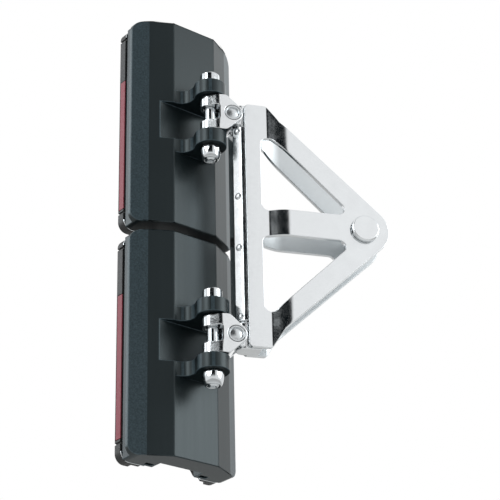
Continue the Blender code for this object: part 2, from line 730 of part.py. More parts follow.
def toggle_shape():
    """Forged toggle: barrel with a window, and cheeks with a slot for the bracket's eye."""
    height = TOGGLE_HALF_HEIGHT
    through = CHEEK_OUTER + CUT_PAST
    toggle = prism(toggle_plan(), -height - CUT_PAST, height + CUT_PAST)
    combine(toggle, prism(cheek_outline(), -through, through, "Y"), "INTERSECT")
    pin_axis = across(TOGGLE_REACH, 0.0)
    slot_radius = EYE_RADIUS + EYE_CLEARANCE
    slot = cylinder(slot_radius, -SLOT_HALF_WIDTH, SLOT_HALF_WIDTH, FINE_SIDES, pin_axis)
    mouth_end = TOGGLE_REACH + CHEEK_NOSE_RADIUS + CUT_PAST
    mouth_top = height + CUT_PAST
    mouth = box(
        (TOGGLE_REACH, -SLOT_HALF_WIDTH, -mouth_top),
        (mouth_end, SLOT_HALF_WIDTH, mouth_top),
    )
    half_window = WINDOW_HEIGHT / 2
    window_start = -BARREL_RADIUS - CUT_PAST
    window = rounded([
        ((window_start, -half_window), 0.0),
        ((WINDOW_REACH, -half_window), WINDOW_CORNER),
        ((WINDOW_REACH, half_window), WINDOW_CORNER),
        ((window_start, half_window), 0.0),
    ])
    cut(toggle, slot, mouth, prism(window, -through, through, "Y"))
    bore = cylinder(BOLT_DIAMETER / 2 + FIT, -mouth_top, mouth_top, FINE_SIDES)
    pin_hole = cylinder(TOGGLE_PIN_DIAMETER / 2 + FIT, -through, through, FINE_SIDES, pin_axis)
    return cut(toggle, bore, pin_hole)


def toggle_pin_shape():
    """Plain pin along Y through the cheeks and the eye, dished at both ends."""
    end = CHEEK_OUTER - TOGGLE_PIN_RECESS
    radius = TOGGLE_PIN_DIAMETER / 2
    upper = [
        (0.0, end - PIN_DISH_DEPTH),
        (PIN_DISH_FLOOR_DIAMETER / 2, end - PIN_DISH_DEPTH),
        (PIN_DISH_DIAMETER / 2, end),
        (radius, end),
    ]
    profile = upper + [(r, -z) for r, z in reversed(upper)]
    return turned(profile, FINE_SIDES, across(0.0, 0.0))


# Bracket pieces, in a frame on the bolts' axis at the height of the apex pin

def rivet_place(z):
    """Matrix of a rivet on the near chamfer of the spine's nose, at its seat, facing out."""
    out = Vector((-1.0, -1.0, 0.0)).normalized()
    half_chamfer = NOSE_NEAR_CHAMFER / 2
    middle = Vector((NOSE_START + half_chamfer, half_chamfer - NOSE_HALF_WIDTH, z))
    seat = middle - out * RIVET_SEAT_DEPTH
    return Matrix.Translation(seat) @ out.to_track_quat("Z", "Y").to_matrix().to_4x4()


def rivet_heights():
    """Heights of the four rivets, from the top down."""
    outer = CLEVIS_HEIGHT - OUTER_RIVET_INSET
    return (outer, INNER_RIVET_HEIGHT, -INNER_RIVET_HEIGHT, -outer)


def rivet_seat_profile():
    """Stepped cutter for a rivet: a flat seat for its head and a blind hole for its shank."""
    head = RIVET_HEAD_DIAMETER / 2 + FIT
    shank = RIVET_SHANK_DIAMETER / 2 + FIT
    bottom = -RIVET_SHANK_LENGTH - FIT
    return [(0.0, CUT_PAST), (head, CUT_PAST), (head, -FIT), (shank, -FIT), (shank, bottom), (0.0, bottom)]


def nose_outline():
    """Section of the spine's nose between the toggles, flush with the outside of both plates."""
    back = PLATE_START - FIT
    near_edge = NOSE_NEAR_CHAMFER - NOSE_HALF_WIDTH
    far_edge = NOSE_HALF_WIDTH - NOSE_FAR_CHAMFER
    return [
        (NOSE_START, near_edge),
        (NOSE_START + NOSE_NEAR_CHAMFER, -NOSE_HALF_WIDTH),
        (back, -NOSE_HALF_WIDTH),
        (back, NOSE_HALF_WIDTH),
        (NOSE_START + NOSE_FAR_CHAMFER, NOSE_HALF_WIDTH),
        (NOSE_START, far_edge),
    ]


def spine_bar_shape():
    """Spine bar with a wide nose, an eye for each toggle pin and seats for the rivets."""
    front = arc((BAR_ROUND_CENTRE, 0.0), BAR_ROUND, math.pi / 2, 3 * math.pi / 2)
    edge = BAR_START + BAR_DEPTH
    bar = prism(front + [(edge, -BAR_ROUND), (edge, BAR_ROUND)], -BAR_HALF_HEIGHT, BAR_HALF_HEIGHT)
    join(bar, prism(nose_outline(), -NOSE_HALF_HEIGHT, NOSE_HALF_HEIGHT))
    eye_face = BAR_THICKNESS / 2 - EYE_FACE_RELIEF
    through = BAR_THICKNESS / 2 + CUT_PAST
    for z in (-CLEVIS_HEIGHT, CLEVIS_HEIGHT):
        eye = arc((TOGGLE_REACH, z), EYE_RADIUS, math.pi / 2, 3 * math.pi / 2)
        eye += [(BAR_ROUND_CENTRE + CUT_PAST, z - EYE_RADIUS), (BAR_ROUND_CENTRE + CUT_PAST, z + EYE_RADIUS)]
        join(bar, prism(eye, -eye_face, eye_face, "Y"))
        pin_axis = across(TOGGLE_REACH, z)
        cut(bar, cylinder(TOGGLE_PIN_DIAMETER / 2 + FIT, -through, through, FINE_SIDES, pin_axis))
    for z in rivet_heights():
        cut(bar, turned(rivet_seat_profile(), SMALL_SIDES, rivet_place(z)))
    return bar


def rivet_shape():
    """Domed rivet along Z, with the underside of its head at z = 0."""
    head = RIVET_HEAD_DIAMETER / 2
    dome_radius = (head ** 2 + RIVET_HEAD_HEIGHT ** 2) / (2 * RIVET_HEAD_HEIGHT)
    rim_angle = math.asin((dome_radius - RIVET_HEAD_HEIGHT) / dome_radius)
    centre = (0.0, RIVET_HEAD_HEIGHT - dome_radius)
    dome = arc(centre, dome_radius, math.pi / 2, rim_angle)
    shank = RIVET_SHANK_DIAMETER / 2
    profile = [(0.0, RIVET_HEAD_HEIGHT)] + dome[1:]
    profile += [(shank, 0.0), (shank, -RIVET_SHANK_LENGTH), (0.0, -RIVET_SHANK_LENGTH)]
    return turned(profile, SMALL_SIDES)


def plate_outline():
    """Outer edge of a plate, with the reach where its diagonals would meet and their slope."""
    top = PLATE_HALF_HEIGHT
    shoulder = (PLATE_START + PLATE_TOP_WIDTH + SHOULDER_RUN, top - SHOULDER_DROP)
    fall = math.atan2(shoulder[1], APEX_REACH - shoulder[0])
    fall -= math.asin(APEX_RADIUS / math.dist(shoulder, (APEX_REACH, 0.0)))
    vertex = shoulder[0] + shoulder[1] / math.tan(fall)
    upper = [
        ((PLATE_START, top), PLATE_CORNER),
        ((PLATE_START + PLATE_TOP_WIDTH, top), SHOULDER_ROUND),
        (shoulder, SHOULDER_ROUND),
    ]
    lower = [((x, -z), radius) for (x, z), radius in reversed(upper)]
    outline = rounded(upper + [((vertex, 0.0), APEX_RADIUS)] + lower)
    return outline, vertex, math.tan(fall)


def slot_outline(vertex, slope):
    """Upper slot between the spine, the diagonal arm and the middle arm."""
    start = PLATE_START + SLOT_START
    low = MIDDLE_ARM_HALF_WIDTH
    top = (vertex - start) * slope - ARM_RISE
    tip = vertex - low / slope - ARM_RUN
    return rounded([((start, low), SLOT_ROUND), ((tip, low), SLOT_ROUND), ((start, top), SLOT_ROUND)])


def plate_shape(side):
    """One bracket plate, bent outward past the spine and cut to a triangle with two slots."""
    inner = PLATE_INNER
    outer = PLATE_INNER + PLATE_THICKNESS
    bend = PLATE_START + JOGGLE_START
    bend_end = bend + JOGGLE_RUN
    setback = PLATE_THICKNESS * math.tan(math.atan2(JOGGLE_OFFSET, JOGGLE_RUN) / 2)
    outline, vertex, slope = plate_outline()
    start = PLATE_START - CUT_PAST
    section = [
        (start, inner),
        (bend, inner),
        (bend_end, inner + JOGGLE_OFFSET),
        (vertex, inner + JOGGLE_OFFSET),
        (vertex, ARM_OUTER),
        (bend_end - setback, ARM_OUTER),
        (bend - setback, outer),
        (start, outer),
    ]
    past = PLATE_HALF_HEIGHT + CUT_PAST
    plate = prism([(u, side * n) for u, n in section], -past, past)
    reach = ARM_OUTER + CUT_PAST
    combine(plate, prism(outline, -reach, reach, "Y"), "INTERSECT")
    slot = slot_outline(vertex, slope)
    cut(plate, prism(slot, -reach, reach, "Y"))
    cut(plate, prism([(u, -v) for u, v in reversed(slot)], -reach, reach, "Y"))
    hole = across(APEX_REACH, 0.0)
    return cut(plate, cylinder(APEX_PIN_DIAMETER / 2 + FIT, -reach, reach, FINE_SIDES, hole))


def apex_pin_shape():
    """Headed pin along Y across both plates, its head on the near side and a clip groove beyond."""
    radius = APEX_PIN_DIAMETER / 2
    head = APEX_HEAD_DIAMETER / 2
    seat = ARM_OUTER + FIT
    top = seat + APEX_HEAD_HEIGHT
    groove_top = -(ARM_OUTER + FIT + WASHER_THICKNESS)
    groove_low = groove_top - CLIP_THICKNESS - 2 * FIT
    end = groove_low - APEX_PIN_END
    profile = [
        (0.0, top),
        (head - APEX_HEAD_BEVEL, top),
        (head, top - APEX_HEAD_BEVEL),
        (head, seat),
        (radius, seat),
        (radius, groove_top),
        (radius - CLIP_GROOVE_DEPTH, groove_top),
        (radius - CLIP_GROOVE_DEPTH, groove_low),
        (radius, groove_low),
        (radius, end),
        (0.0, end),
    ]
    return turned(profile, FINE_SIDES, across(APEX_REACH, 0.0, -1.0))


def washer_shape():
    """Flat washer on the far side of the bracket."""
    inner = APEX_PIN_DIAMETER / 2 + FIT
    outer = WASHER_DIAMETER / 2
    low = ARM_OUTER + FIT
    high = low + WASHER_THICKNESS
    profile = [(inner, high), (outer, high), (outer, low), (inner, low)]
    return turned(profile, FINE_SIDES, across(APEX_REACH, 0.0))


def clip_shape():
    """Open retaining clip in the groove of the apex pin."""
    inner = APEX_PIN_DIAMETER / 2 - CLIP_GROOVE_DEPTH + FIT
    start = CLIP_OPENING / 2
    end = math.tau - CLIP_OPENING / 2
    centre = (APEX_REACH, 0.0)
    outline = arc(centre, CLIP_DIAMETER / 2, start, end) + arc(centre, inner, end, start)
    low = ARM_OUTER + WASHER_THICKNESS + 2 * FIT
    return prism(outline, low, low + CLIP_THICKNESS, "Y")


def build_bracket(frame):
    """Place the bracket's pieces; the frame's origin is the upper toggle pin."""
    origin = (-TOGGLE_REACH, 0.0, -CLEVIS_HEIGHT)
    place_node("spine_bar", spine_bar_shape(), frame, POLISHED_STEEL, origin)
    place_node("near_plate", plate_shape(-1.0), frame, POLISHED_STEEL, origin)
    place_node("far_plate", plate_shape(1.0), frame, POLISHED_STEEL, origin)
    place_node("apex_pin", apex_pin_shape(), frame, POLISHED_STEEL, origin)
    place_node("apex_washer", washer_shape(), frame, BRIGHT_STEEL, origin)
    place_node("apex_clip", clip_shape(), frame, BRIGHT_STEEL, origin)
    rivet = rivet_shape()
    for index, z in enumerate(rivet_heights(), start=1):
        node = place_node(f"spine_rivet_{index}", rivet, frame, BRIGHT_STEEL)
        node.matrix_local = Matrix.Translation(origin) @ rivet_place(z)


def build():
    """Build the whole assembly in an empty scene."""
    for old in list(bpy.data.objects):
        bpy.data.objects.remove(old)
    track = new_frame("mast_track", (0.0, 0.0, 0.0))
    shapes = car_shapes()
    toggle = toggle_shape()
    toggle_pin = toggle_pin_shape()
    heading = BRACKET_SWING - math.pi / 2
    for prefix, height in (("upper", CLEVIS_HEIGHT), ("lower", -CLEVIS_HEIGHT)):
        car_frame = new_frame(f"{prefix}_car_frame", (0.0, 0.0, height), track)
        build_car(prefix, car_frame, shapes)
        bolt_axis = (0.0, from_flat(-BOLT_OFFSET), 0.0)
        swing = new_frame(f"{prefix}_swing_axis", bolt_axis, car_frame, heading)
        place_node(f"{prefix}_toggle", toggle, swing, POLISHED_STEEL)
        pitch = new_frame(f"{prefix}_pitch_axis", (TOGGLE_REACH, 0.0, 0.0), swing)
        place_node(f"{prefix}_toggle_pin", toggle_pin, pitch, BRIGHT_STEEL)
    build_bracket(bpy.data.objects["upper_pitch_axis"])
    for spare in [item for item in bpy.data.objects if item.name.startswith("shape")]:
        bpy.data.objects.remove(spare)


build()
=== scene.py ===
"""Looks of a mainsail headboard car: two track cars, two toggles and a polished bracket.

Every size is in millimetres and every piece is shaped in its own frame: a car's lies in the middle of its
channel floor, a toggle's and the bracket's on the bolts' axis with +X along the bracket. A finished piece
is then settled into the row frame, in metres.
"""

import json
import logging
import math
from collections.abc import Iterable, Sequence
from dataclasses import dataclass
from enum import Enum

import bmesh
import bpy
from mathutils import Matrix, Vector

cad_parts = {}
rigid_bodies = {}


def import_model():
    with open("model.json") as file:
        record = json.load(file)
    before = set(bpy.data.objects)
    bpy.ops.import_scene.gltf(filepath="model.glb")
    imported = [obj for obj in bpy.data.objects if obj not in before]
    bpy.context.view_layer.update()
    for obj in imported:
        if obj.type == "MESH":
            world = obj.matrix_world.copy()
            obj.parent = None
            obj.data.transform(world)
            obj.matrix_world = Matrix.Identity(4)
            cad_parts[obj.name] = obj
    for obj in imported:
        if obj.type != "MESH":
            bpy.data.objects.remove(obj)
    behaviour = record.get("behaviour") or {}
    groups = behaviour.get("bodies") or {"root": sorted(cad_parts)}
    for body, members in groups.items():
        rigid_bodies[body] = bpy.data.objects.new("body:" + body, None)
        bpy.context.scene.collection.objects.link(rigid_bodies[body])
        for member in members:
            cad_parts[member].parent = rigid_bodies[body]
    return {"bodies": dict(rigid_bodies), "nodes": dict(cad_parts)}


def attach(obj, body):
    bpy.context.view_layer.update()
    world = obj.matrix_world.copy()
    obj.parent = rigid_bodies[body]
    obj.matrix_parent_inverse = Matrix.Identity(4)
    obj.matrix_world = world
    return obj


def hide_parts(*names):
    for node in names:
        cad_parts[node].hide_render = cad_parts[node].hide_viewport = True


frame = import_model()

LOG = logging.getLogger("headboard_car")

MM = 0.001
ARC_STEP = math.radians(6.0)
ROUND_SIDES = 64
SMALL_SIDES = 32
# How far a cutter runs past what it cuts
CUT_PAST = 4.0
# Edges of a turned shape that bend by more than this stay sharp
SHARP_ANGLE = math.radians(35.0)
# Faces that differ by less than this lie in one plane
FLAT_ANGLE = math.radians(0.2)
# Points closer than this are one point, in a fresh mesh and after cuts
SAME_POINT = 1e-4
CUT_SLIVER = 0.004
# Points closer than this to a plane lie in it
IN_PLANE = 1e-3
# Keeps a socket's corners clear of the corners of the round that it is cut into
SOCKET_TURN = math.radians(7.0)
# Face attributes: paler edges (wear and a painted highlight) with a painted reflection on sides and facets,
# sawn or milled faces (with the gap-facing end dulled as painted shade), and the insides of the plates
# (painted darker as shade)
WEAR_AND_SHEEN = "edge_wear"
DULL_AND_SHADED_FACE = "sawn_face"
SHADED_INNER_FACE = "inner_face"
# Point attribute of a flag
FLAG_COVER = "cover"
# How much a broken edge is drawn paler, from 0 to 1: partly wear, partly a painted highlight
BEVEL_WEAR_AND_SHEEN = 0.5
# Range that most values of a noise pattern lie in
NOISE_MIDDLE = (0.3, 0.7)
# Sockets of a colour mix, whose names its other sockets have too
MIX_FIRST, MIX_SECOND, MIX_RESULT = 6, 7, 2

# Where the clevis bolts stand, where the bracket heads from them, and how far off the toggle pins are
CLEVIS_HEIGHT = 82.5
BOLT_Y = -34.5
HEADING = math.radians(-23.5)
TOGGLE_REACH = 13.7

Point = tuple[float, float]
Triple = tuple[float, float, float]
Corner = tuple[Point, float]
Colour = tuple[float, float, float, float]
# Width, smallest angle in degrees and facets of broken edges
Edge = tuple[float, float, int]
Material = bpy.types.Material
Node = bpy.types.Node
NodeTree = bpy.types.NodeTree
Object = bpy.types.Object
Socket = bpy.types.NodeSocket


class Side(Enum):
    """The two sides of a car, seen from aft."""

    LEFT = -1.0
    RIGHT = 1.0


class CarPosition(Enum):
    """The two cars on the track."""

    UPPER = 1.0
    LOWER = -1.0

    @property
    def prefix(self) -> str:
        """First word of the names at this position."""
        return self.name.lower()


class PlateFace(Enum):
    """The two plates of the bracket."""

    NEAR = -1.0
    FAR = 1.0


class Along(Enum):
    """Axis that an outline is extruded along."""

    Y = "Y"
    Z = "Z"


class Operation(Enum):
    """What one shape does to another."""

    CUT = "DIFFERENCE"
    JOIN = "UNION"
    COMMON = "INTERSECT"


class Slot(Enum):
    """Material slots of the record."""

    ANODISED = "black_anodised"
    PLASTIC = "black_plastic"
    STRIP = "red_strip"
    BALL = "white_ball"
    POLISHED = "polished_steel"
    BRIGHT = "bright_steel"


# Outlines

def arc(centre: Point, radius: float, start: float, end: float) -> list[Point]:
    """Points along a circle.

    Args:
        centre: Middle of the circle.
        radius: Its radius.
        start: Angle of the first point.
        end: Angle of the last point.

    Returns:
        The points, both ends included.
    """
    steps = max(1, math.ceil(abs(end - start) / ARC_STEP - 1e-6))
    angles = [start + (end - start) * step / steps for step in range(steps + 1)]
    return [(centre[0] + radius * math.cos(a), centre[1] + radius * math.sin(a)) for a in angles]


def arc_between(centre: Point, start: Point, end: Point) -> list[Point]:
    """Points along the shorter way round a circle.

    Args:
        centre: Middle of the circle.
        start: First point on it.
        end: Last point on it.

    Returns:
        The points, both ends included.
    """
    first = math.atan2(start[1] - centre[1], start[0] - centre[0])
    last = math.atan2(end[1] - centre[1], end[0] - centre[0])
    turn = (last - first + math.pi) % math.tau - math.pi
    return arc(centre, math.dist(centre, start), first, first + turn)


def fillet(corners: Sequence[Corner], closed: bool = True) -> list[Point]:
    """Outline through corners that are each rounded by their own radius.

    Args:
        corners: Point and radius of each corner.
        closed: Whether the last corner joins the first. An open outline keeps its two ends sharp.

    Returns:
        Points of the rounded outline.
    """
    outline: list[Point] = []
    for index, (point, radius) in enumerate(corners):
        end = not closed and index in (0, len(corners) - 1)
        if radius <= 0.0 or end:
            outline.append(point)
            continue
        here = Vector(point)
        before = (Vector(corners[index - 1][0]) - here).normalized()
        after = (Vector(corners[(index + 1) % len(corners)][0]) - here).normalized()
        half = before.angle(after) / 2
        centre = here + (before + after).normalized() * radius / math.sin(half)
        reach = radius / math.tan(half)
        outline += arc_between(tuple(centre), tuple(here + before * reach), tuple(here + after * reach))
    return outline


def mirrored(half: Sequence[Point]) -> list[Point]:
    """Outline symmetric about its second axis, from its half on the positive side."""
    return list(half) + [(-x, y) for x, y in reversed(half)]


def hexagon(flats: float, turn: float = 0.0) -> list[Point]:
    """Six corners of a hexagon.

    Args:
        flats: Width across its flats.
        turn: Angle of its first corner.

    Returns:
        The corners in order.
    """
    radius = flats / math.sqrt(3.0)
    angles = [turn + k * math.pi / 3 for k in range(6)]
    return [(radius * math.cos(a), radius * math.sin(a)) for a in angles]


# Shapes

def add_object(name: str, data: bpy.types.ID) -> Object:
    """Add an object to the scene.

    Args:
        name: Its name.
        data: Its mesh, curve, camera or lamp.

    Returns:
        The object.
    """
    item = bpy.data.objects.new(name, data)
    bpy.context.scene.collection.objects.link(item)
    return item


def to_object(bm: bmesh.types.BMesh) -> Object:
    """Add an edit mesh to the scene.

    Args:
        bm: Closed mesh, freed here.

    Returns:
        A smooth-shaded object with its faces pointing out.
    """
    bmesh.ops.recalc_face_normals(bm, faces=bm.faces)
    mesh = bpy.data.meshes.new("shape")
    bm.to_mesh(mesh)
    bm.free()
    mesh.shade_smooth()
    return add_object("shape", mesh)


def prism(outline: Sequence[Point], low: float, high: float, along: Along = Along.Z) -> Object:
    """Extrude an outline.

    Args:
        outline: (x, y) points for an extrusion along Z, or (x, z) points for one along Y.
        low: Where the extrusion starts.
        high: Where it ends.
        along: Its axis.

    Returns:
        The solid.
    """
    bm = bmesh.new()
    if along is Along.Z:
        ring = [bm.verts.new((a, b, low)) for a, b in outline]
        travel = Vector((0.0, 0.0, high - low))
    else:
        ring = [bm.verts.new((a, low, b)) for a, b in outline]
        travel = Vector((0.0, high - low, 0.0))
    base = bm.faces.new(ring)
    grown = bmesh.ops.extrude_face_region(bm, geom=[base], use_keep_orig=True)
    moved = [item for item in grown["geom"] if isinstance(item, bmesh.types.BMVert)]
    bmesh.ops.translate(bm, verts=moved, vec=travel)
    return to_object(bm)


def box(low: Sequence[float], high: Sequence[float]) -> Object:
    """Upright box between two opposite corners."""
    outline = [(low[0], low[1]), (high[0], low[1]), (high[0], high[1]), (low[0], high[1])]
    return prism(outline, low[2], high[2])


def turned(profile: Sequence[Point], sides: int, place: Matrix | None = None) -> Object:
    """Spin a profile round Z.

    Args:
        profile: (radius, height) points. One that starts off the axis is closed into a ring.
        sides: Number of sides of the round.
        place: Matrix that moves the solid.

    Returns:
        The solid, with its corners kept sharp.
    """
    bm = bmesh.new()
    points = [bm.verts.new((radius, 0.0, height)) for radius, height in profile]
    edges = [bm.edges.new(pair) for pair in zip(points, points[1:])]
    if profile[0][0] > 0.0:
        edges.append(bm.edges.new((points[-1], points[0])))
    bmesh.ops.spin(
        bm,
        geom=points + edges,
        cent=(0.0, 0.0, 0.0),
        axis=(0.0, 0.0, 1.0),
        angle=math.tau,
        steps=sides,
        use_merge=True,
    )
    bmesh.ops.remove_doubles(bm, verts=bm.verts, dist=SAME_POINT)
    if place:
        bmesh.ops.transform(bm, matrix=place, verts=bm.verts)
    shape = to_object(bm)
    shape.data.set_sharp_from_angle(angle=SHARP_ANGLE)
    return shape


def cylinder(radius: float, low: float, high: float, place: Matrix | None = None) -> Object:
    """Solid cylinder along Z between two heights."""
    return turned([(0.0, high), (radius, high), (radius, low), (0.0, low)], ROUND_SIDES, place)


def evaluated_mesh(shape: Object) -> bpy.types.Mesh:
    """Mesh of an object as its modifiers leave it."""
    depsgraph = bpy.context.evaluated_depsgraph_get()
    return bpy.data.meshes.new_from_object(shape.evaluated_get(depsgraph))


def freeze(shape: Object) -> Object:
    """Turn a shape's modifiers into its mesh.

    Args:
        shape: Shape with modifiers.

    Returns:
        The same shape without them.
    """
    result = evaluated_mesh(shape)
    shape.modifiers.clear()
    shape.data = result
    return shape


def combine(shape: Object, operation: Operation, *tools: Object) -> Object:
    """Apply shapes to another in turn.

    Args:
        shape: Shape that is kept.
        operation: What each tool does to it.
        tools: Shapes that are applied, and removed.

    Returns:
        The kept shape.
    """
    for tool in tools:
        modifier = shape.modifiers.new("combine", "BOOLEAN")
        modifier.operation = operation.value
        modifier.solver = "EXACT"
        modifier.object = tool
        freeze(shape)
        bpy.data.objects.remove(tool)
    return shape


def cut(shape: Object, *tools: Object) -> Object:
    """Take each tool away from the shape."""
    return combine(shape, Operation.CUT, *tools)


def join(shape: Object, *tools: Object) -> Object:
    """Fuse each tool to the shape."""
    return combine(shape, Operation.JOIN, *tools)


def soften(
    shape: Object, width: float, limit: float = 10.0, segments: int = 2
) -> Object:
    """Break the edges of a shape, as deburring does, and mark the broken edges for their wear and a painted
    highlight.

    Args:
        shape: Closed shape with sharp edges.
        width: Width of the broken edge.
        limit: Smallest angle, in degrees, of an edge that is broken.
        segments: Facets across the broken edge.

    Returns:
        The shape, with an attribute on its faces that marks the broken edges and is 0 elsewhere; the anodised
        finish draws them paler, partly as wear and partly as a painted highlight.
    """
    bm = bmesh.new()
    bm.from_mesh(shape.data)
    bmesh.ops.remove_doubles(bm, verts=bm.verts, dist=CUT_SLIVER)
    bmesh.ops.dissolve_degenerate(bm, edges=bm.edges, dist=CUT_SLIVER)
    bmesh.ops.dissolve_limit(bm, angle_limit=FLAT_ANGLE, verts=bm.verts, edges=bm.edges)
    bm.to_mesh(shape.data)
    bm.free()
    # The second of two empty material slots marks the faces that the bevel makes
    shape.data.materials.clear()
    shape.data.materials.append(None)
    shape.data.materials.append(None)
    shape.data.shade_smooth()
    bevel = shape.modifiers.new("edges", "BEVEL")
    bevel.width = width
    bevel.segments = segments
    bevel.limit_method = "ANGLE"
    bevel.angle_limit = math.radians(limit)
    bevel.loop_slide = False
    bevel.use_clamp_overlap = False
    bevel.material = 1
    normals = shape.modifiers.new("normals", "WEIGHTED_NORMAL")
    normals.keep_sharp = True
    freeze(shape)
    # Broken edges are drawn paler by the anodised finish, partly as wear and partly as a painted highlight
    wear_and_sheen_values = shape.data.attributes.new(WEAR_AND_SHEEN, "FLOAT", "FACE")
    wear_and_sheen_values.data.foreach_set("value", [BEVEL_WEAR_AND_SHEEN * face.material_index for face in shape.data.polygons])
    shape.data.polygons.foreach_set("material_index", [0] * len(shape.data.polygons))
    return shape


def socketed(shape: Object, socket: Point, top: float) -> Object:
    """Cut a hexagon socket into the top of a turned fastener.

    Args:
        shape: The fastener, along Z.
        socket: Width across the socket's flats, and its depth.
        top: Height of the fastener's top.

    Returns:
        The fastener, with its corners kept sharp.
    """
    cut(shape, prism(hexagon(socket[0], SOCKET_TURN), top - socket[1], top + CUT_PAST))
    shape.data.shade_smooth()
    shape.data.set_sharp_from_angle(angle=SHARP_ANGLE)
    return shape


def round_head(radius: float, seat: float, top: float, edge: Triple) -> list[Corner]:
    """Profile of a round head with a chamfered top.

    Args:
        radius: Radius of the head.
        seat: Height of its underside.
        top: Height of its top.
        edge: Width of the chamfer, and the rounding of its edges and of the lower edge.

    Returns:
        Corners from the middle of the top to the lower edge.
    """
    chamfer, upper, lower = edge
    return [
        ((0.0, top), 0.0),
        ((radius - chamfer, top), upper),
        ((radius, top - chamfer), upper),
        ((radius, seat), lower),
    ]


def across(x: float, z: float, facing: float = 1.0) -> Matrix:
    """Matrix that lays a turned shape's axis along Y, its top towards +Y or -Y."""
    return Matrix.Translation((x, 0.0, z)) @ Matrix.Rotation(-facing * math.pi / 2, 4, "X")


# Finishes

def linear(code: str) -> Colour:
    """Linear colour of an sRGB hex code.

    Args:
        code: Code such as "#1f2426".

    Returns:
        Red, green, blue and a full alpha.
    """
    parts = [int(code[i:i + 2], 16) / 255.0 for i in (1, 3, 5)]
    values = [p / 12.92 if p <= 0.04045 else ((p + 0.055) / 1.055) ** 2.4 for p in parts]
    return values[0], values[1], values[2], 1.0


def per_metre(size: float) -> float:
    """Texture scale that gives a feature of the given size in millimetres."""
    return 1.0 / (size * MM)


def add_node(
    tree: NodeTree,
    kind: str,
    settings: dict[str, object] | None = None,
    inputs: dict[str | int, object] | None = None,
) -> Node:
    """Add a node with its settings and links.

    Args:
        tree: Tree that gets the node.
        kind: Blender's type of node.
        settings: Attributes of the node.
        inputs: Values of its inputs, by name or index. An output socket is linked.

    Returns:
        The new node.
    """
    node = tree.nodes.new(kind)
    for name, value in (settings or {}).items():
        setattr(node, name, value)
    for key, value in (inputs or {}).items():
        if isinstance(value, Socket):
            tree.links.new(value, node.inputs[key])
        else:
            node.inputs[key].default_value = value
    return node


@dataclass(frozen=True)
class Finish:
    """A surface: the name of its material and the slot that it fills."""

    name: str
    slot: Slot

    def material(self) -> Material:
        """Material of this finish, made the first time it is asked for.

        Returns:
            The material.
        """
        known = bpy.data.materials.get(self.name)
        if known:
            return known
        material = bpy.data.materials.new(self.name)
        material.use_nodes = True
        self.shade(material.node_tree, material.node_tree.nodes["Principled BSDF"])
        return material

    def shade(self, tree: NodeTree, surface: Node) -> None:
        """Set the shader's values and link its patterns."""
        raise NotImplementedError


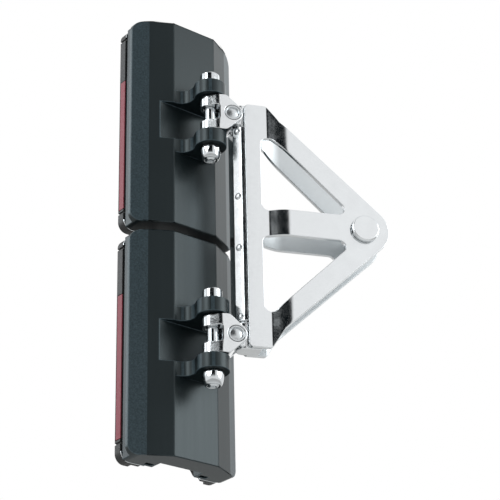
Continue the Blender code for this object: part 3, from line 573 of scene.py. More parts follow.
@dataclass(frozen=True)
class AnodisedExtrusion(Finish):
    """Black anodised aluminium extrusion, etched before it was dyed.

    The dyed oxide is dark with a cold green cast. Etching leaves a fine satin grain, and the die leaves
    faint lines along the length. Broken edges are drawn paler, partly as wear and partly as a painted
    highlight, and the sides and outer facets paler and bluer as a painted reflection. Sawn or milled
    faces stay dull, and on the end that faces the other car this dullness also paints the shade in the gap.
    """

    dark: str = "#0d1517"
    pale: str = "#131b1e"
    # Paler colour for broken edges, partly wear and partly a painted highlight, and for the sides and outer
    # facets as a painted reflection
    worn: str = "#687c86"
    sheen: str = "#ebfbff"
    shine: float = 0.5
    # Specular level of sawn or milled faces; on the end that faces the other car it also paints the shade in
    # the gap
    sawn_shine: float = 0.12
    gloss: Point = (0.35, 0.38)
    die_line: float = 1.3
    die_length: float = 90.0
    die_relief: float = 0.12
    grain: float = 1.1
    cloud: float = 26.0
    bump: Point = (0.35, 0.00003)

    def shade(self, tree: NodeTree, surface: Node) -> None:
        """Cloudy dye, die lines in gloss, grain in bump, paler edges and sides for wear and painted
        reflection.

        Args:
            tree: Tree of the material.
            surface: Its shader.
        """
        place = add_node(tree, "ShaderNodeTexCoord").outputs["Object"]
        cloud = add_node(
            tree,
            "ShaderNodeTexNoise",
            inputs={"Vector": place, "Scale": per_metre(self.cloud), "Detail": 3.0},
        ).outputs["Fac"]
        # Die lines are about 0.2 mm apart on the real part; they are drawn wider so that they show
        stretch = (per_metre(self.die_line), per_metre(self.die_line), per_metre(self.die_length))
        drawn = add_node(tree, "ShaderNodeMapping", inputs={"Vector": place, "Scale": stretch})
        lines = add_node(
            tree,
            "ShaderNodeTexNoise",
            inputs={"Vector": drawn.outputs["Vector"], "Scale": 1.0, "Detail": 2.0},
        ).outputs["Fac"]
        # The etched grain is about 0.05 mm; it is drawn at the size of a pixel
        grain = add_node(
            tree,
            "ShaderNodeTexNoise",
            inputs={"Vector": place, "Scale": per_metre(self.grain), "Detail": 2.0},
        ).outputs["Fac"]
        dye = add_node(
            tree,
            "ShaderNodeMix",
            {"data_type": "RGBA"},
            {"Factor": cloud, MIX_FIRST: linear(self.dark), MIX_SECOND: linear(self.pale)},
        ).outputs[MIX_RESULT]
        # Paler where marked: broken edges as wear and a painted highlight, sides and outer facets as a
        # painted reflection
        edge = add_node(tree, "ShaderNodeAttribute", {"attribute_name": WEAR_AND_SHEEN}).outputs["Fac"]
        wear_and_sheen_share = add_node(
            tree,
            "ShaderNodeMath",
            {"operation": "MULTIPLY"},
            {0: edge, 1: grain},
        ).outputs["Value"]
        colour = add_node(
            tree,
            "ShaderNodeMix",
            {"data_type": "RGBA"},
            {"Factor": wear_and_sheen_share, MIX_FIRST: dye, MIX_SECOND: linear(self.worn)},
        ).outputs[MIX_RESULT]
        gloss = add_node(
            tree,
            "ShaderNodeMapRange",
            inputs={
                "Value": lines,
                "From Min": NOISE_MIDDLE[0],
                "From Max": NOISE_MIDDLE[1],
                "To Min": self.gloss[0],
                "To Max": self.gloss[1],
            },
        ).outputs["Result"]
        height = add_node(
            tree,
            "ShaderNodeMath",
            {"operation": "MULTIPLY_ADD"},
            {0: lines, 1: self.die_relief, 2: grain},
        ).outputs["Value"]
        bump = add_node(
            tree,
            "ShaderNodeBump",
            inputs={"Height": height, "Strength": self.bump[0], "Distance": self.bump[1]},
        ).outputs["Normal"]
        tree.links.new(colour, surface.inputs["Base Color"])
        tree.links.new(gloss, surface.inputs["Roughness"])
        tree.links.new(bump, surface.inputs["Normal"])
        # Dull specular on sawn or milled faces, which on the gap-facing end also paints shade
        sawn = add_node(tree, "ShaderNodeAttribute", {"attribute_name": DULL_AND_SHADED_FACE}).outputs["Fac"]
        shine = add_node(
            tree,
            "ShaderNodeMapRange",
            inputs={"Value": sawn, "To Min": self.shine, "To Max": self.sawn_shine},
        )
        tree.links.new(shine.outputs["Result"], surface.inputs["Specular IOR Level"])
        surface.inputs["Specular Tint"].default_value = linear(self.sheen)


@dataclass(frozen=True)
class MouldedPlastic(Finish):
    """Injection-moulded plastic from an eroded mould.

    The mould's erosion leaves a fine even grain that scatters the highlight.
    """

    dark: str
    pale: str
    gloss: Point
    grain: float = 1.0
    bump: Point = (0.4, 0.00004)
    shine: float = 0.5
    flow: float = 18.0

    def shade(self, tree: NodeTree, surface: Node) -> None:
        """Even colour with slight flow clouds, and a grain in gloss and bump.

        Args:
            tree: Tree of the material.
            surface: Its shader.
        """
        place = add_node(tree, "ShaderNodeTexCoord").outputs["Object"]
        flow = add_node(
            tree,
            "ShaderNodeTexNoise",
            inputs={"Vector": place, "Scale": per_metre(self.flow), "Detail": 2.0},
        ).outputs["Fac"]
        # Erosion grain is about 0.1 mm; it is drawn at the size of a pixel
        grain = add_node(
            tree,
            "ShaderNodeTexNoise",
            inputs={"Vector": place, "Scale": per_metre(self.grain), "Detail": 3.0},
        ).outputs["Fac"]
        tint = add_node(
            tree,
            "ShaderNodeMix",
            {"data_type": "RGBA"},
            {"Factor": flow, MIX_FIRST: linear(self.dark), MIX_SECOND: linear(self.pale)},
        ).outputs[MIX_RESULT]
        gloss = add_node(
            tree,
            "ShaderNodeMapRange",
            inputs={
                "Value": grain,
                "From Min": NOISE_MIDDLE[0],
                "From Max": NOISE_MIDDLE[1],
                "To Min": self.gloss[0],
                "To Max": self.gloss[1],
            },
        ).outputs["Result"]
        bump = add_node(
            tree,
            "ShaderNodeBump",
            inputs={"Height": grain, "Strength": self.bump[0], "Distance": self.bump[1]},
        ).outputs["Normal"]
        tree.links.new(tint, surface.inputs["Base Color"])
        tree.links.new(gloss, surface.inputs["Roughness"])
        tree.links.new(bump, surface.inputs["Normal"])
        surface.inputs["Specular IOR Level"].default_value = self.shine


@dataclass(frozen=True)
class BuffedSteel(Finish):
    """Stainless steel, cut or turned and then buffed.

    Buffing leaves a bright face with faint haze where the wheel dwelt, fine scratches the way the wheel
    ran, and a very slight waviness that makes reflections swim. Faces that the wheel can't reach stay dull,
    and the plates' inner faces are also painted darker as the shade between the plates.
    """

    dark: str
    pale: str
    gloss: Point
    scratch: float = 1.2
    scratch_length: float = 22.0
    scratch_turn: Triple = (0.0, 0.55, -0.41)
    scratch_dulling: float = 0.5
    dulling: Point = (0.5, 1.0)
    haze: float = 9.0
    wave: float = 14.0
    wave_relief: float = 6.0
    bump: Point = (0.3, 0.000012)
    # Painted shade: darker colour of the plates' inner faces, between the plates
    inner: str = "#d2d6d8"
    inner_haze: float = 0.3

    def shade(self, tree: NodeTree, surface: Node) -> None:
        """Haze in colour and gloss, and scratches over a slow wave in the bump.

        Args:
            tree: Tree of the material.
            surface: Its shader.
        """
        place = add_node(tree, "ShaderNodeTexCoord").outputs["Object"]
        haze = add_node(
            tree,
            "ShaderNodeTexNoise",
            inputs={"Vector": place, "Scale": per_metre(self.haze), "Detail": 4.0},
        ).outputs["Fac"]
        # Buffing scratches are a few hundredths wide; they are drawn a pixel or two wide
        stretch = (per_metre(self.scratch_length), per_metre(self.scratch), per_metre(self.scratch))
        ran = add_node(
            tree,
            "ShaderNodeMapping",
            inputs={"Vector": place, "Rotation": self.scratch_turn, "Scale": stretch},
        )
        scratches = add_node(
            tree,
            "ShaderNodeTexNoise",
            inputs={"Vector": ran.outputs["Vector"], "Scale": 1.0, "Detail": 2.0},
        ).outputs["Fac"]
        wave = add_node(
            tree,
            "ShaderNodeTexNoise",
            inputs={"Vector": place, "Scale": per_metre(self.wave), "Detail": 1.0},
        ).outputs["Fac"]
        tint = add_node(
            tree,
            "ShaderNodeMix",
            {"data_type": "RGBA"},
            {"Factor": haze, MIX_FIRST: linear(self.dark), MIX_SECOND: linear(self.pale)},
        ).outputs[MIX_RESULT]
        marks = add_node(
            tree,
            "ShaderNodeMath",
            {"operation": "MULTIPLY_ADD"},
            {0: scratches, 1: self.scratch_dulling, 2: haze},
        ).outputs["Value"]
        gloss = add_node(
            tree,
            "ShaderNodeMapRange",
            inputs={
                "Value": marks,
                "From Min": self.dulling[0],
                "From Max": self.dulling[1],
                "To Min": self.gloss[0],
                "To Max": self.gloss[1],
            },
        ).outputs["Result"]
        # The plates' inner faces get a darker colour as painted shade, and a duller gloss
        inside = add_node(tree, "ShaderNodeAttribute", {"attribute_name": SHADED_INNER_FACE}).outputs["Fac"]
        metal = add_node(
            tree,
            "ShaderNodeMix",
            {"data_type": "RGBA"},
            {"Factor": inside, MIX_FIRST: tint, MIX_SECOND: linear(self.inner)},
        ).outputs[MIX_RESULT]
        dulled = add_node(
            tree,
            "ShaderNodeMath",
            {"operation": "MULTIPLY_ADD"},
            {0: inside, 1: self.inner_haze, 2: gloss},
        ).outputs["Value"]
        height = add_node(
            tree,
            "ShaderNodeMath",
            {"operation": "MULTIPLY_ADD"},
            {0: wave, 1: self.wave_relief, 2: scratches},
        ).outputs["Value"]
        bump = add_node(
            tree,
            "ShaderNodeBump",
            inputs={"Height": height, "Strength": self.bump[0], "Distance": self.bump[1]},
        ).outputs["Normal"]
        tree.links.new(metal, surface.inputs["Base Color"])
        tree.links.new(dulled, surface.inputs["Roughness"])
        tree.links.new(bump, surface.inputs["Normal"])
        surface.inputs["Metallic"].default_value = 1.0


# Dyed extrusion: near black and satin, with a cold sheen, corners paled partly by wear and partly as a
# painted highlight, and sides and outer facets painted paler as a reflection
ANODISED = AnodisedExtrusion("black_anodised_extrusion", Slot.ANODISED)
# Glass-filled nylon: dull black, a little brown where it flowed
GUIDE_NYLON = MouldedPlastic("moulded_black_nylon", Slot.PLASTIC, "#121415", "#1b1c1d", (0.42, 0.56))
# Dyed vinyl strip: a muted red, smoother than the guide
STRIP_VINYL = MouldedPlastic(
    "red_vinyl_strip", Slot.STRIP, "#84333f", "#903e4a", (0.34, 0.44), 1.4, (0.4, 0.00002), 0.25
)
# Acetal balls: tumbled smooth, off white
BALL_ACETAL = MouldedPlastic(
    "tumbled_acetal_ball", Slot.BALL, "#dedacf", "#e8e5dc", (0.22, 0.3), 1.0, (0.4, 0.00001)
)
# Buffed plate and forgings: bright, with reflections that swim a little, and the plates' inner faces painted
# darker as shade
PLATE_STEEL = BuffedSteel("buffed_stainless_plate", Slot.POLISHED, "#dcdfe1", "#eaedef", (0.12, 0.24))
# Pin and rivet ends: peened and then tumbled, so that their highlights run soft
PEENED_STEEL = BuffedSteel("peened_stainless_end", Slot.BRIGHT, "#c6cacd", "#d9dddf", (0.24, 0.34))
# Turned fasteners and thin strip: a shade darker than the plates, with crisp highlights
TURNED_STEEL = BuffedSteel("bright_turned_stainless", Slot.BRIGHT, "#c6cacd", "#d9dddf", (0.09, 0.19))


# Placing

def dress(
    shape: Object, name: str, place: Matrix, finish: Finish, body: str, nodes: Iterable[str]
) -> Object:
    """Settle a shape into the row frame, give it its finish and put it on its body.

    Args:
        shape: Shape in its own frame, in millimetres.
        name: Name of the piece.
        place: Matrix of that frame, in millimetres.
        finish: Surface of the piece.
        body: Body that it rides on.
        nodes: Nodes that it stands for.

    Returns:
        The finished piece.
    """
    shape.data.transform(Matrix.Scale(MM, 4) @ place)
    shape.data.update()
    shape.name = name
    shape.data.name = name
    shape.data.materials.clear()
    shape.data.materials.append(finish.material())
    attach(shape, body)
    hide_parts(*nodes)
    LOG.info("%s: %d faces on %s", name, len(shape.data.polygons), body)
    return shape


class Tree:
    """Geometry Nodes tree whose inputs are set by name."""

    def __init__(self, name: str, inputs: Sequence[tuple[str, str]]) -> None:
        """Start a tree.

        Args:
            name: Name of the tree.
            inputs: Name and socket type of each input after the geometry.
        """
        self.group = bpy.data.node_groups.new(name, "GeometryNodeTree")
        self.group.interface.new_socket("Geometry", in_out="INPUT", socket_type="NodeSocketGeometry")
        for label, kind in inputs:
            self.group.interface.new_socket(label, in_out="INPUT", socket_type=kind)
        self.group.interface.new_socket("Geometry", in_out="OUTPUT", socket_type="NodeSocketGeometry")
        self.start = add_node(self.group, "NodeGroupInput")

    def close(self, geometry: Socket) -> None:
        """Realize the geometry, give it the input named Finish and put it out.

        Args:
            geometry: What the tree has made.
        """
        real = add_node(self.group, "GeometryNodeRealizeInstances", inputs={"Geometry": geometry})
        dressed = add_node(
            self.group,
            "GeometryNodeSetMaterial",
            inputs={"Geometry": real.outputs["Geometry"], "Material": self.start.outputs["Finish"]},
        )
        add_node(self.group, "NodeGroupOutput", inputs={"Geometry": dressed.outputs["Geometry"]})

    def grow(self, seats: Sequence[Sequence[float]], values: dict[str, object]) -> Object:
        """Run the tree on some points.

        Args:
            seats: Points that the tree starts from.
            values: Values of its inputs, by name.

        Returns:
            A plain mesh object in the points' frame.
        """
        mesh = bpy.data.meshes.new("seats")
        mesh.from_pydata([tuple(seat) for seat in seats], [], [])
        shape = add_object("seats", mesh)
        modifier = shape.modifiers.new("grow", "NODES")
        modifier.node_group = self.group
        for item in self.group.interface.items_tree:
            if item.item_type == "SOCKET" and item.in_out == "INPUT" and item.name in values:
                modifier[item.identifier] = values[item.name]
        return freeze(shape)


def hardware_tree() -> Tree:
    """Tree that seats a copy of one fastener on each point, turned the same way.

    Returns:
        A tree with the inputs Fastener, Turn and Finish.
    """
    tree = Tree(
        "seated_fasteners",
        [("Fastener", "NodeSocketObject"), ("Turn", "NodeSocketVector"), ("Finish", "NodeSocketMaterial")],
    )
    single = add_node(tree.group, "GeometryNodeObjectInfo", inputs={"Object": tree.start.outputs["Fastener"]})
    seated = add_node(
        tree.group,
        "GeometryNodeInstanceOnPoints",
        inputs={
            "Points": tree.start.outputs["Geometry"],
            "Instance": single.outputs["Geometry"],
            "Rotation": tree.start.outputs["Turn"],
        },
    )
    tree.close(seated.outputs["Instances"])
    return tree


def ball_tree() -> Tree:
    """Tree that lays a straight row of balls along Z about its middle.

    Returns:
        A tree with the inputs Count, Pitch, Diameter and Finish.
    """
    tree = Tree(
        "ball_row",
        [
            ("Count", "NodeSocketInt"),
            ("Pitch", "NodeSocketFloat"),
            ("Diameter", "NodeSocketFloat"),
            ("Finish", "NodeSocketMaterial"),
        ],
    )
    group, start = tree.group, tree.start.outputs
    offset = add_node(group, "ShaderNodeCombineXYZ", inputs={"Z": start["Pitch"]}).outputs["Vector"]
    gaps = add_node(group, "ShaderNodeMath", {"operation": "SUBTRACT"}, {0: start["Count"], 1: 1.0})
    half = add_node(group, "ShaderNodeMath", {"operation": "MULTIPLY"}, {0: gaps.outputs["Value"], 1: -0.5})
    first = add_node(
        group,
        "ShaderNodeVectorMath",
        {"operation": "SCALE"},
        {"Vector": offset, "Scale": half.outputs["Value"]},
    )
    row = add_node(
        group,
        "GeometryNodeMeshLine",
        {"mode": "OFFSET"},
        {"Count": start["Count"], "Start Location": first.outputs["Vector"], "Offset": offset},
    )
    radius = add_node(group, "ShaderNodeMath", {"operation": "MULTIPLY"}, {0: start["Diameter"], 1: 0.5})
    ball = add_node(
        group,
        "GeometryNodeMeshUVSphere",
        inputs={"Segments": SMALL_SIDES, "Rings": SMALL_SIDES // 2, "Radius": radius.outputs["Value"]},
    )
    smooth = add_node(group, "GeometryNodeSetShadeSmooth", inputs={"Geometry": ball.outputs["Mesh"]})
    laid = add_node(
        group,
        "GeometryNodeInstanceOnPoints",
        inputs={"Points": row.outputs["Mesh"], "Instance": smooth.outputs["Geometry"]},
    )
    tree.close(laid.outputs["Instances"])
    return tree


# Sub-assemblies

@dataclass
class TrackCar:
    """One car: its extruded body with clevis ears, and the plates, guides, balls and screws under it.

    Depths are measured from the aft flat, and half widths from the middle. A head or socket is a width and
    a height, and a bolt end's chamfer or dish is how far it lies inside the shank and how deep it is. An
    edge is what soften or round_head takes, rounds are radii in the order of the profile, and a facing is
    a limit for a face's normal.
    """

    position: CarPosition
    length: float = 158.6
    flat_half_width: float = 17.5
    bevel_break: Point = (33.0, 8.0)
    half_width: float = 43.1
    side_depths: Point = (15.0, 18.0)
    side_corner: float = 7.2
    end_chamfer: float = 1.1
    # How much paler the sides and outer facets are drawn: a painted reflection
    side_rub: float = 0.5
    facet_rub: float = 0.4
    skirt_half_width: float = 39.5
    body_depth: float = 26.0
    channel_roof: float = 16.5
    channel_half_width: float = 16.5
    recess_x: Point = (18.5, 24.5)
    recess_depths: Point = (20.4, 24.0)
    recess_length: float = 4.0
    body_edge: float = 0.45
    end_facing: float = 0.9
    side_facing: float = 0.98
    # Least and most of x in the normal of a bevelled facet, and what its y and z stay below
    facet_facing: Triple = (0.52, 0.65, -0.7)
    upright: float = 0.1
    fit: float = 0.3
    retainer_thickness: float = 0.8
    retainer_setback: float = 2.0
    retainer_edge: float = 0.12
    guide_start: float = 17.5
    guide_half_width: float = 40.2
    guide_depth: float = 6.2
    guide_corner: float = 6.5
    guide_edge: Point = (0.3, 20.0)
    lead_in: Point = (7.0, 10.0)
    groove_x: Point = (22.0, 30.0)
    groove_depth: float = 3.6
    stripe_start: float = 15.3
    stripe_length: float = 101.0
    stripe_thickness: float = 0.8
    stripe_margin: float = 0.9
    stripe_edge: float = 0.15
    joint_width: float = 1.2
    joint_depth: float = 1.0
    joint_insets: Point = (12.6, 8.0)
    ball_diameter: float = 7.0
    ball_pitch: float = 7.05
    ball_count: int = 16
    ball_row_length: float = 113.0
    ball_reach: float = 1.7
    screw_diameter: float = 3.0
    screw_head: Point = (5.6, 2.0)
    screw_rounds: Triple = (0.4, 0.15, 0.3)
    screw_socket: Point = (2.5, 1.2)
    screw_grip: float = 8.0
    screw_x: float = 26.0
    screw_z: float = 52.3
    bolt_offset: float = 18.0
    ear_boss_radius: float = 11.0
    ear_inner: float = 14.3
    ear_outer: float = 24.6
    ear_root_inset: float = 0.5
    ear_embed: float = 6.0
    pocket_depth: float = 4.5
    bolt_diameter: float = 8.0
    bolt_head: Point = (13.4, 8.1)
    bolt_head_edge: Triple = (0.9, 0.4, 0.3)
    bolt_socket: Point = (6.0, 4.0)
    bolt_standout: float = 1.0
    bolt_end_chamfer: Point = (1.7, 1.5)
    bolt_end_dish: Point = (2.0, 1.2)
    bolt_end_rounds: Triple = (0.5, 0.3, 0.2)
    nut_flats: float = 13.6
    nut_height: float = 9.2
    nut_diameter: float = 14.1
    nut_shoulder: float = 0.6
    nut_end_diameter: float = 9.4
    nut_edge: Point = (0.3, 24.0)

    @property
    def body_name(self) -> str:
        """Body that this car's pieces ride on."""
        return f"{self.position.prefix}_car"

    @property
    def place(self) -> Matrix:
        """Frame of the car in the row frame."""
        return Matrix.Translation((0.0, 0.0, self.position.value * CLEVIS_HEIGHT))

    @property
    def half_length(self) -> float:
        """Half of the car's length."""
        return self.length / 2

    @property
    def retainer_top(self) -> float:
        """Depth of the retainer plates."""
        return self.body_depth + self.fit

    @property
    def guide_top(self) -> float:
        """Depth of the guides' upper face."""
        return self.retainer_top + self.retainer_thickness + self.fit

    @property
    def guide_bottom(self) -> float:
        """Depth of the guides' rear face."""
        return self.guide_top + self.guide_depth

    @property
    def ball_centre(self) -> Point:
        """X and depth of the right-hand row of balls."""
        x = self.channel_half_width - self.ball_reach + self.ball_diameter / 2
        return x, self.retainer_top + self.retainer_thickness / 2

    def y(self, depth: float) -> float:
        """Y of a place that lies the given depth inside the aft flat."""
        return depth - self.channel_roof

    def ear(self, low: float, high: float) -> Object:
        """Shape one clevis ear: a boss round the bolt that flares into the aft flat.

        Args:
            low: Height of its lower face.
            high: Height of its upper face.

        Returns:
            The ear, with a root that reaches into the body.
        """
        root = self.flat_half_width - self.ear_root_inset
        reach = self.bolt_offset + self.ear_boss_radius
        flare = (root ** 2 + self.bolt_offset ** 2 - self.ear_boss_radius ** 2) / (2 * reach)
        boss = Vector((0.0, self.y(-self.bolt_offset)))
        centre = Vector((root, self.y(-flare)))
        touch = boss + (centre - boss).normalized() * self.ear_boss_radius
        tip = boss - Vector((0.0, self.ear_boss_radius))
        half = [(root, self.y(self.ear_embed))]
        half += arc_between(tuple(centre), (root, self.y(0.0)), tuple(touch))
        half += arc_between(tuple(boss), tuple(touch), tuple(tip))[1:-1]
        outline = half + [tuple(tip)] + [(-x, y) for x, y in reversed(half)]
        return prism(outline, low, high)

    def ball_groove(self, side: Side) -> Object:
        """Shape the cutter for the groove that one row of balls runs in.

        Args:
            side: Side of the car that the row lies on.

        Returns:
            A long cylinder.
        """
        x, depth = self.ball_centre
        half = self.ball_row_length / 2 + self.fit
        place = Matrix.Translation((side.value * x, self.y(depth), 0.0))
        return cylinder(self.ball_diameter / 2 + self.fit, -half, half, place)

    def screw_holes(self, side: Side, low: float, high: float) -> list[Object]:
        """Shape the cutters for the two screw holes of one guide.

        Args:
            side: Side of the car that the guide lies on.
            low: Depth that they start at.
            high: Depth that they end at.

        Returns:
            Two cylinders.
        """
        radius = self.screw_diameter / 2 + self.fit
        seat = Matrix.Translation((0.0, self.y(0.0), 0.0))
        places = [seat @ across(side.value * self.screw_x, z) for z in (-self.screw_z, self.screw_z)]
        return [cylinder(radius, low, high, place) for place in places]

    def side_view(self, side: Side, start: float, corner: float) -> list[Point]:
        """Outline along Y of what lies on one side of the channel.

        Args:
            side: Side of the car.
            start: Distance of its inner edge from the middle.
            corner: Radius of its outer corners.

        Returns:
            The outline.
        """
        inner, outer = side.value * start, side.value * self.guide_half_width
        return fillet([
            ((inner, -self.half_length), 0.0),
            ((outer, -self.half_length), corner),
            ((outer, self.half_length), corner),
            ((inner, self.half_length), 0.0),
        ])

    def side_box(self, side: Side, edges: Point, depths: Point, heights: Point) -> Object:
        """Shape a box on one side of the car.

        Args:
            side: Side of the car.
            edges: Distances from the middle that it lies between.
            depths: Depths that it lies between.
            heights: Heights that it lies between.

        Returns:
            The box.
        """
        xs = sorted((side.value * edges[0], side.value * edges[1]))
        low = (xs[0], self.y(depths[0]), heights[0])
        return box(low, (xs[1], self.y(depths[1]), heights[1]))

    def chamfer_ends(self, body: Object) -> None:
        """Chamfer the aft edges of both sawn ends.

        Args:
            body: Plain body without its ears.
        """
        bm = bmesh.new()
        bm.from_mesh(body.data)
        bmesh.ops.dissolve_limit(bm, angle_limit=FLAT_ANGLE, verts=bm.verts, edges=bm.edges)
        deepest = self.y(self.side_depths[0])
        rim = [
            edge for edge in bm.edges
            if all(abs(abs(v.co.z) - self.half_length) < IN_PLANE and v.co.y < deepest for v in edge.verts)
        ]
        bmesh.ops.bevel(bm, geom=rim, offset=self.end_chamfer, segments=1, affect="EDGES", clamp_overlap=True)
        bm.to_mesh(body.data)
        bm.free()

    def extrusion(self) -> Object:
        """Shape the body: the extruded section with its ears, pocket, holes and grooves.

        Returns:
            The body in the car's frame.
        """
        section = mirrored([
            (self.flat_half_width, self.y(0.0)),
            (self.bevel_break[0], self.y(self.bevel_break[1])),
            (self.half_width, self.y(self.side_depths[0])),
            (self.half_width, self.y(self.side_depths[1])),
            (self.skirt_half_width, self.y(self.side_depths[1])),
            (self.skirt_half_width, self.y(self.body_depth)),
            (self.channel_half_width, self.y(self.body_depth)),
            (self.channel_half_width, self.y(self.channel_roof)),
        ])
        body = prism(section, -self.half_length - CUT_PAST, self.half_length + CUT_PAST)
        corners = [((x, z), self.side_corner) for x, z in (
            (-self.half_width, -self.half_length),
            (self.half_width, -self.half_length),
            (self.half_width, self.half_length),
            (-self.half_width, self.half_length),
        )]
        above = self.y(-self.bolt_offset - self.ear_boss_radius - CUT_PAST)
        below = self.y(self.guide_bottom)
        combine(body, Operation.COMMON, prism(fillet(corners), above, below, Along.Y))
        self.chamfer_ends(body)
        inside = self.ear_inner - CUT_PAST
        join(body, self.ear(-self.ear_outer, -inside), self.ear(inside, self.ear_outer))
        reach = self.half_width + CUT_PAST
        pocket = box((-reach, above, -self.ear_inner), (reach, self.y(self.pocket_depth), self.ear_inner))
        bolt_axis = Matrix.Translation((0.0, self.y(-self.bolt_offset), 0.0))
        past = self.ear_outer + CUT_PAST
        cut(body, pocket, cylinder(self.bolt_diameter / 2 + self.fit, -past, past, bolt_axis))
        for side in Side:
            cut(body, self.ball_groove(side))
            cut(body, *self.screw_holes(side, self.body_depth - self.screw_grip, self.guide_bottom))
            for end in (-1.0, 1.0):
                ends = (end * (self.half_length - self.recess_length), end * (self.half_length + CUT_PAST))
                cut(body, self.side_box(side, self.recess_x, self.recess_depths, (min(ends), max(ends))))
        soften(body, self.body_edge)
        self.rub(body)
        return body

    def rub(self, body: Object) -> None:
        """Paint the sides and outer facets paler, as a painted reflection, and mark the faces that are left
        as sawn or milled.

        The outer end of the car is left out of the sawn faces, so that the dulled end is the one facing the
        other car; that dullness is partly painted shade in the gap.

        Args:
            body: Finished body.
        """
        wear_and_sheen_values = body.data.attributes[WEAR_AND_SHEEN].data
        sawn = body.data.attributes.new(DULL_AND_SHADED_FACE, "FLOAT", "FACE").data
        outer_end = self.half_length - self.end_chamfer
        facet_low, facet_high, facet_aft = self.facet_facing
        for face in body.data.polygons:
            turn = face.normal
            # Painted shade: the end facing the other car is dulled with the sawn faces, the outer end isn't
            if abs(turn.z) > self.end_facing and face.center.z * self.position.value < outer_end:
                sawn[face.index].value = 1.0
            # Painted reflection: the sides and outer facets are drawn paler
            if abs(turn.x) > self.side_facing and face.center.y < self.y(self.side_depths[1]):
                wear_and_sheen_values[face.index].value = self.side_rub
            elif facet_low < abs(turn.x) < facet_high and turn.y < facet_aft and abs(turn.z) < self.upright:
                wear_and_sheen_values[face.index].value = self.facet_rub

    def retainer(self, side: Side) -> Object:
        """Shape the thin steel plate between the body and one guide.

        Args:
            side: Side of the car that it lies on.

        Returns:
            The plate in the car's frame, with its edge set back except round the guide's corners.
        """
        start = self.ball_centre[0] + self.ball_diameter / 2 + self.fit
        low = self.y(self.retainer_top)
        outline = self.side_view(side, start, self.guide_corner)
        plate = prism(outline, low, low + self.retainer_thickness, Along.Y)
        edges = (self.guide_half_width - self.retainer_setback, self.guide_half_width + CUT_PAST)
        depths = (self.body_depth, self.guide_bottom)
        straight = self.half_length - self.guide_corner
        cut(plate, self.side_box(side, edges, depths, (-straight, straight)))
        cut(plate, *self.screw_holes(side, self.body_depth, self.guide_bottom))
        return soften(plate, self.retainer_edge)

    def lead_ins(self, side: Side) -> list[Object]:
        """Cutters that flare the inner edge of a guide where the track enters.

        Args:
            side: Side of the car that the guide lies on.

        Returns:
            One wedge for each end.
        """
        width, length = self.lead_in
        slack = CUT_PAST * width / length
        inner = side.value * (self.guide_start - slack)
        outer = side.value * (self.guide_start + width + slack)
        below = self.y(self.guide_bottom + CUT_PAST)
        wedges = []
        for end in (-1.0, 1.0):
            deep, past = end * (self.half_length - length - CUT_PAST), end * (self.half_length + CUT_PAST)
            wedge = [(inner, deep), (outer, past), (inner, past)]
            wedges.append(prism(wedge, self.y(self.body_depth), below, Along.Y))
        return wedges

    def guide(self, side: Side) -> Object:
        """Shape one ball guide with its lead-ins, rear groove, strip seat and joint lines.

        Args:
            side: Side of the car that it lies on.

        Returns:
            The guide in the car's frame.
        """
        outline = self.side_view(side, self.guide_start, self.guide_corner)
        guide = prism(outline, self.y(self.guide_top), self.y(self.guide_bottom), Along.Y)
        past = self.half_length + CUT_PAST
        open_depth = self.guide_bottom + CUT_PAST
        outside = self.guide_half_width + CUT_PAST
        groove_floor = self.guide_bottom - self.groove_depth
        cut(guide, *self.lead_ins(side), self.ball_groove(side))
        cut(guide, self.side_box(side, self.groove_x, (groove_floor, open_depth), (-past, past)))
        cut(guide, *self.screw_holes(side, self.body_depth, self.guide_bottom))
        bottom = self.stripe_start - self.fit - self.half_length
        top = bottom + self.stripe_length + 2 * self.fit
        seat = (self.guide_half_width - self.stripe_thickness - self.fit, outside)
        depths = (self.retainer_top, self.guide_bottom - self.stripe_margin + self.fit)
        cut(guide, self.side_box(side, seat, depths, (bottom, top)))
        for z in (self.joint_insets[0] - self.half_length, self.half_length - self.joint_insets[1]):
            line = (z - self.joint_width / 2, z + self.joint_width / 2)
            edges = (self.guide_half_width - self.joint_depth, outside)
            cut(guide, self.side_box(side, edges, (self.retainer_top, open_depth), line))
        return soften(guide, *self.guide_edge)

    def stripe(self, side: Side) -> Object:
        """Shape the coloured strip that lies flush in the outer side of a guide.

        Args:
            side: Side of the car that it lies on.

        Returns:
            The strip in the car's frame.
        """
        bottom = self.stripe_start - self.half_length
        depths = (self.guide_top, self.guide_bottom - self.stripe_margin)
        edges = (self.guide_half_width - self.stripe_thickness, self.guide_half_width)
        strip = self.side_box(side, edges, depths, (bottom, bottom + self.stripe_length))
        return soften(strip, self.stripe_edge)

    def guide_screw(self) -> Object:
        """Shape one socket screw along Z.

        Returns:
            The screw, with the underside of its head at z = 0.
        """
        radius, head = self.screw_diameter / 2, self.screw_head[0] / 2
        top = self.screw_head[1]
        grip = self.guide_bottom - self.groove_depth - self.retainer_top + self.screw_grip
        upper, lower, tip = self.screw_rounds
        profile = fillet([
            ((0.0, top), 0.0),
            ((head, top), upper),
            ((head, 0.0), lower),
            ((radius, 0.0), 0.0),
            ((radius, -grip), tip),
            ((0.0, -grip), 0.0),
        ], closed=False)
        return socketed(turned(profile, SMALL_SIDES), self.screw_socket, top)

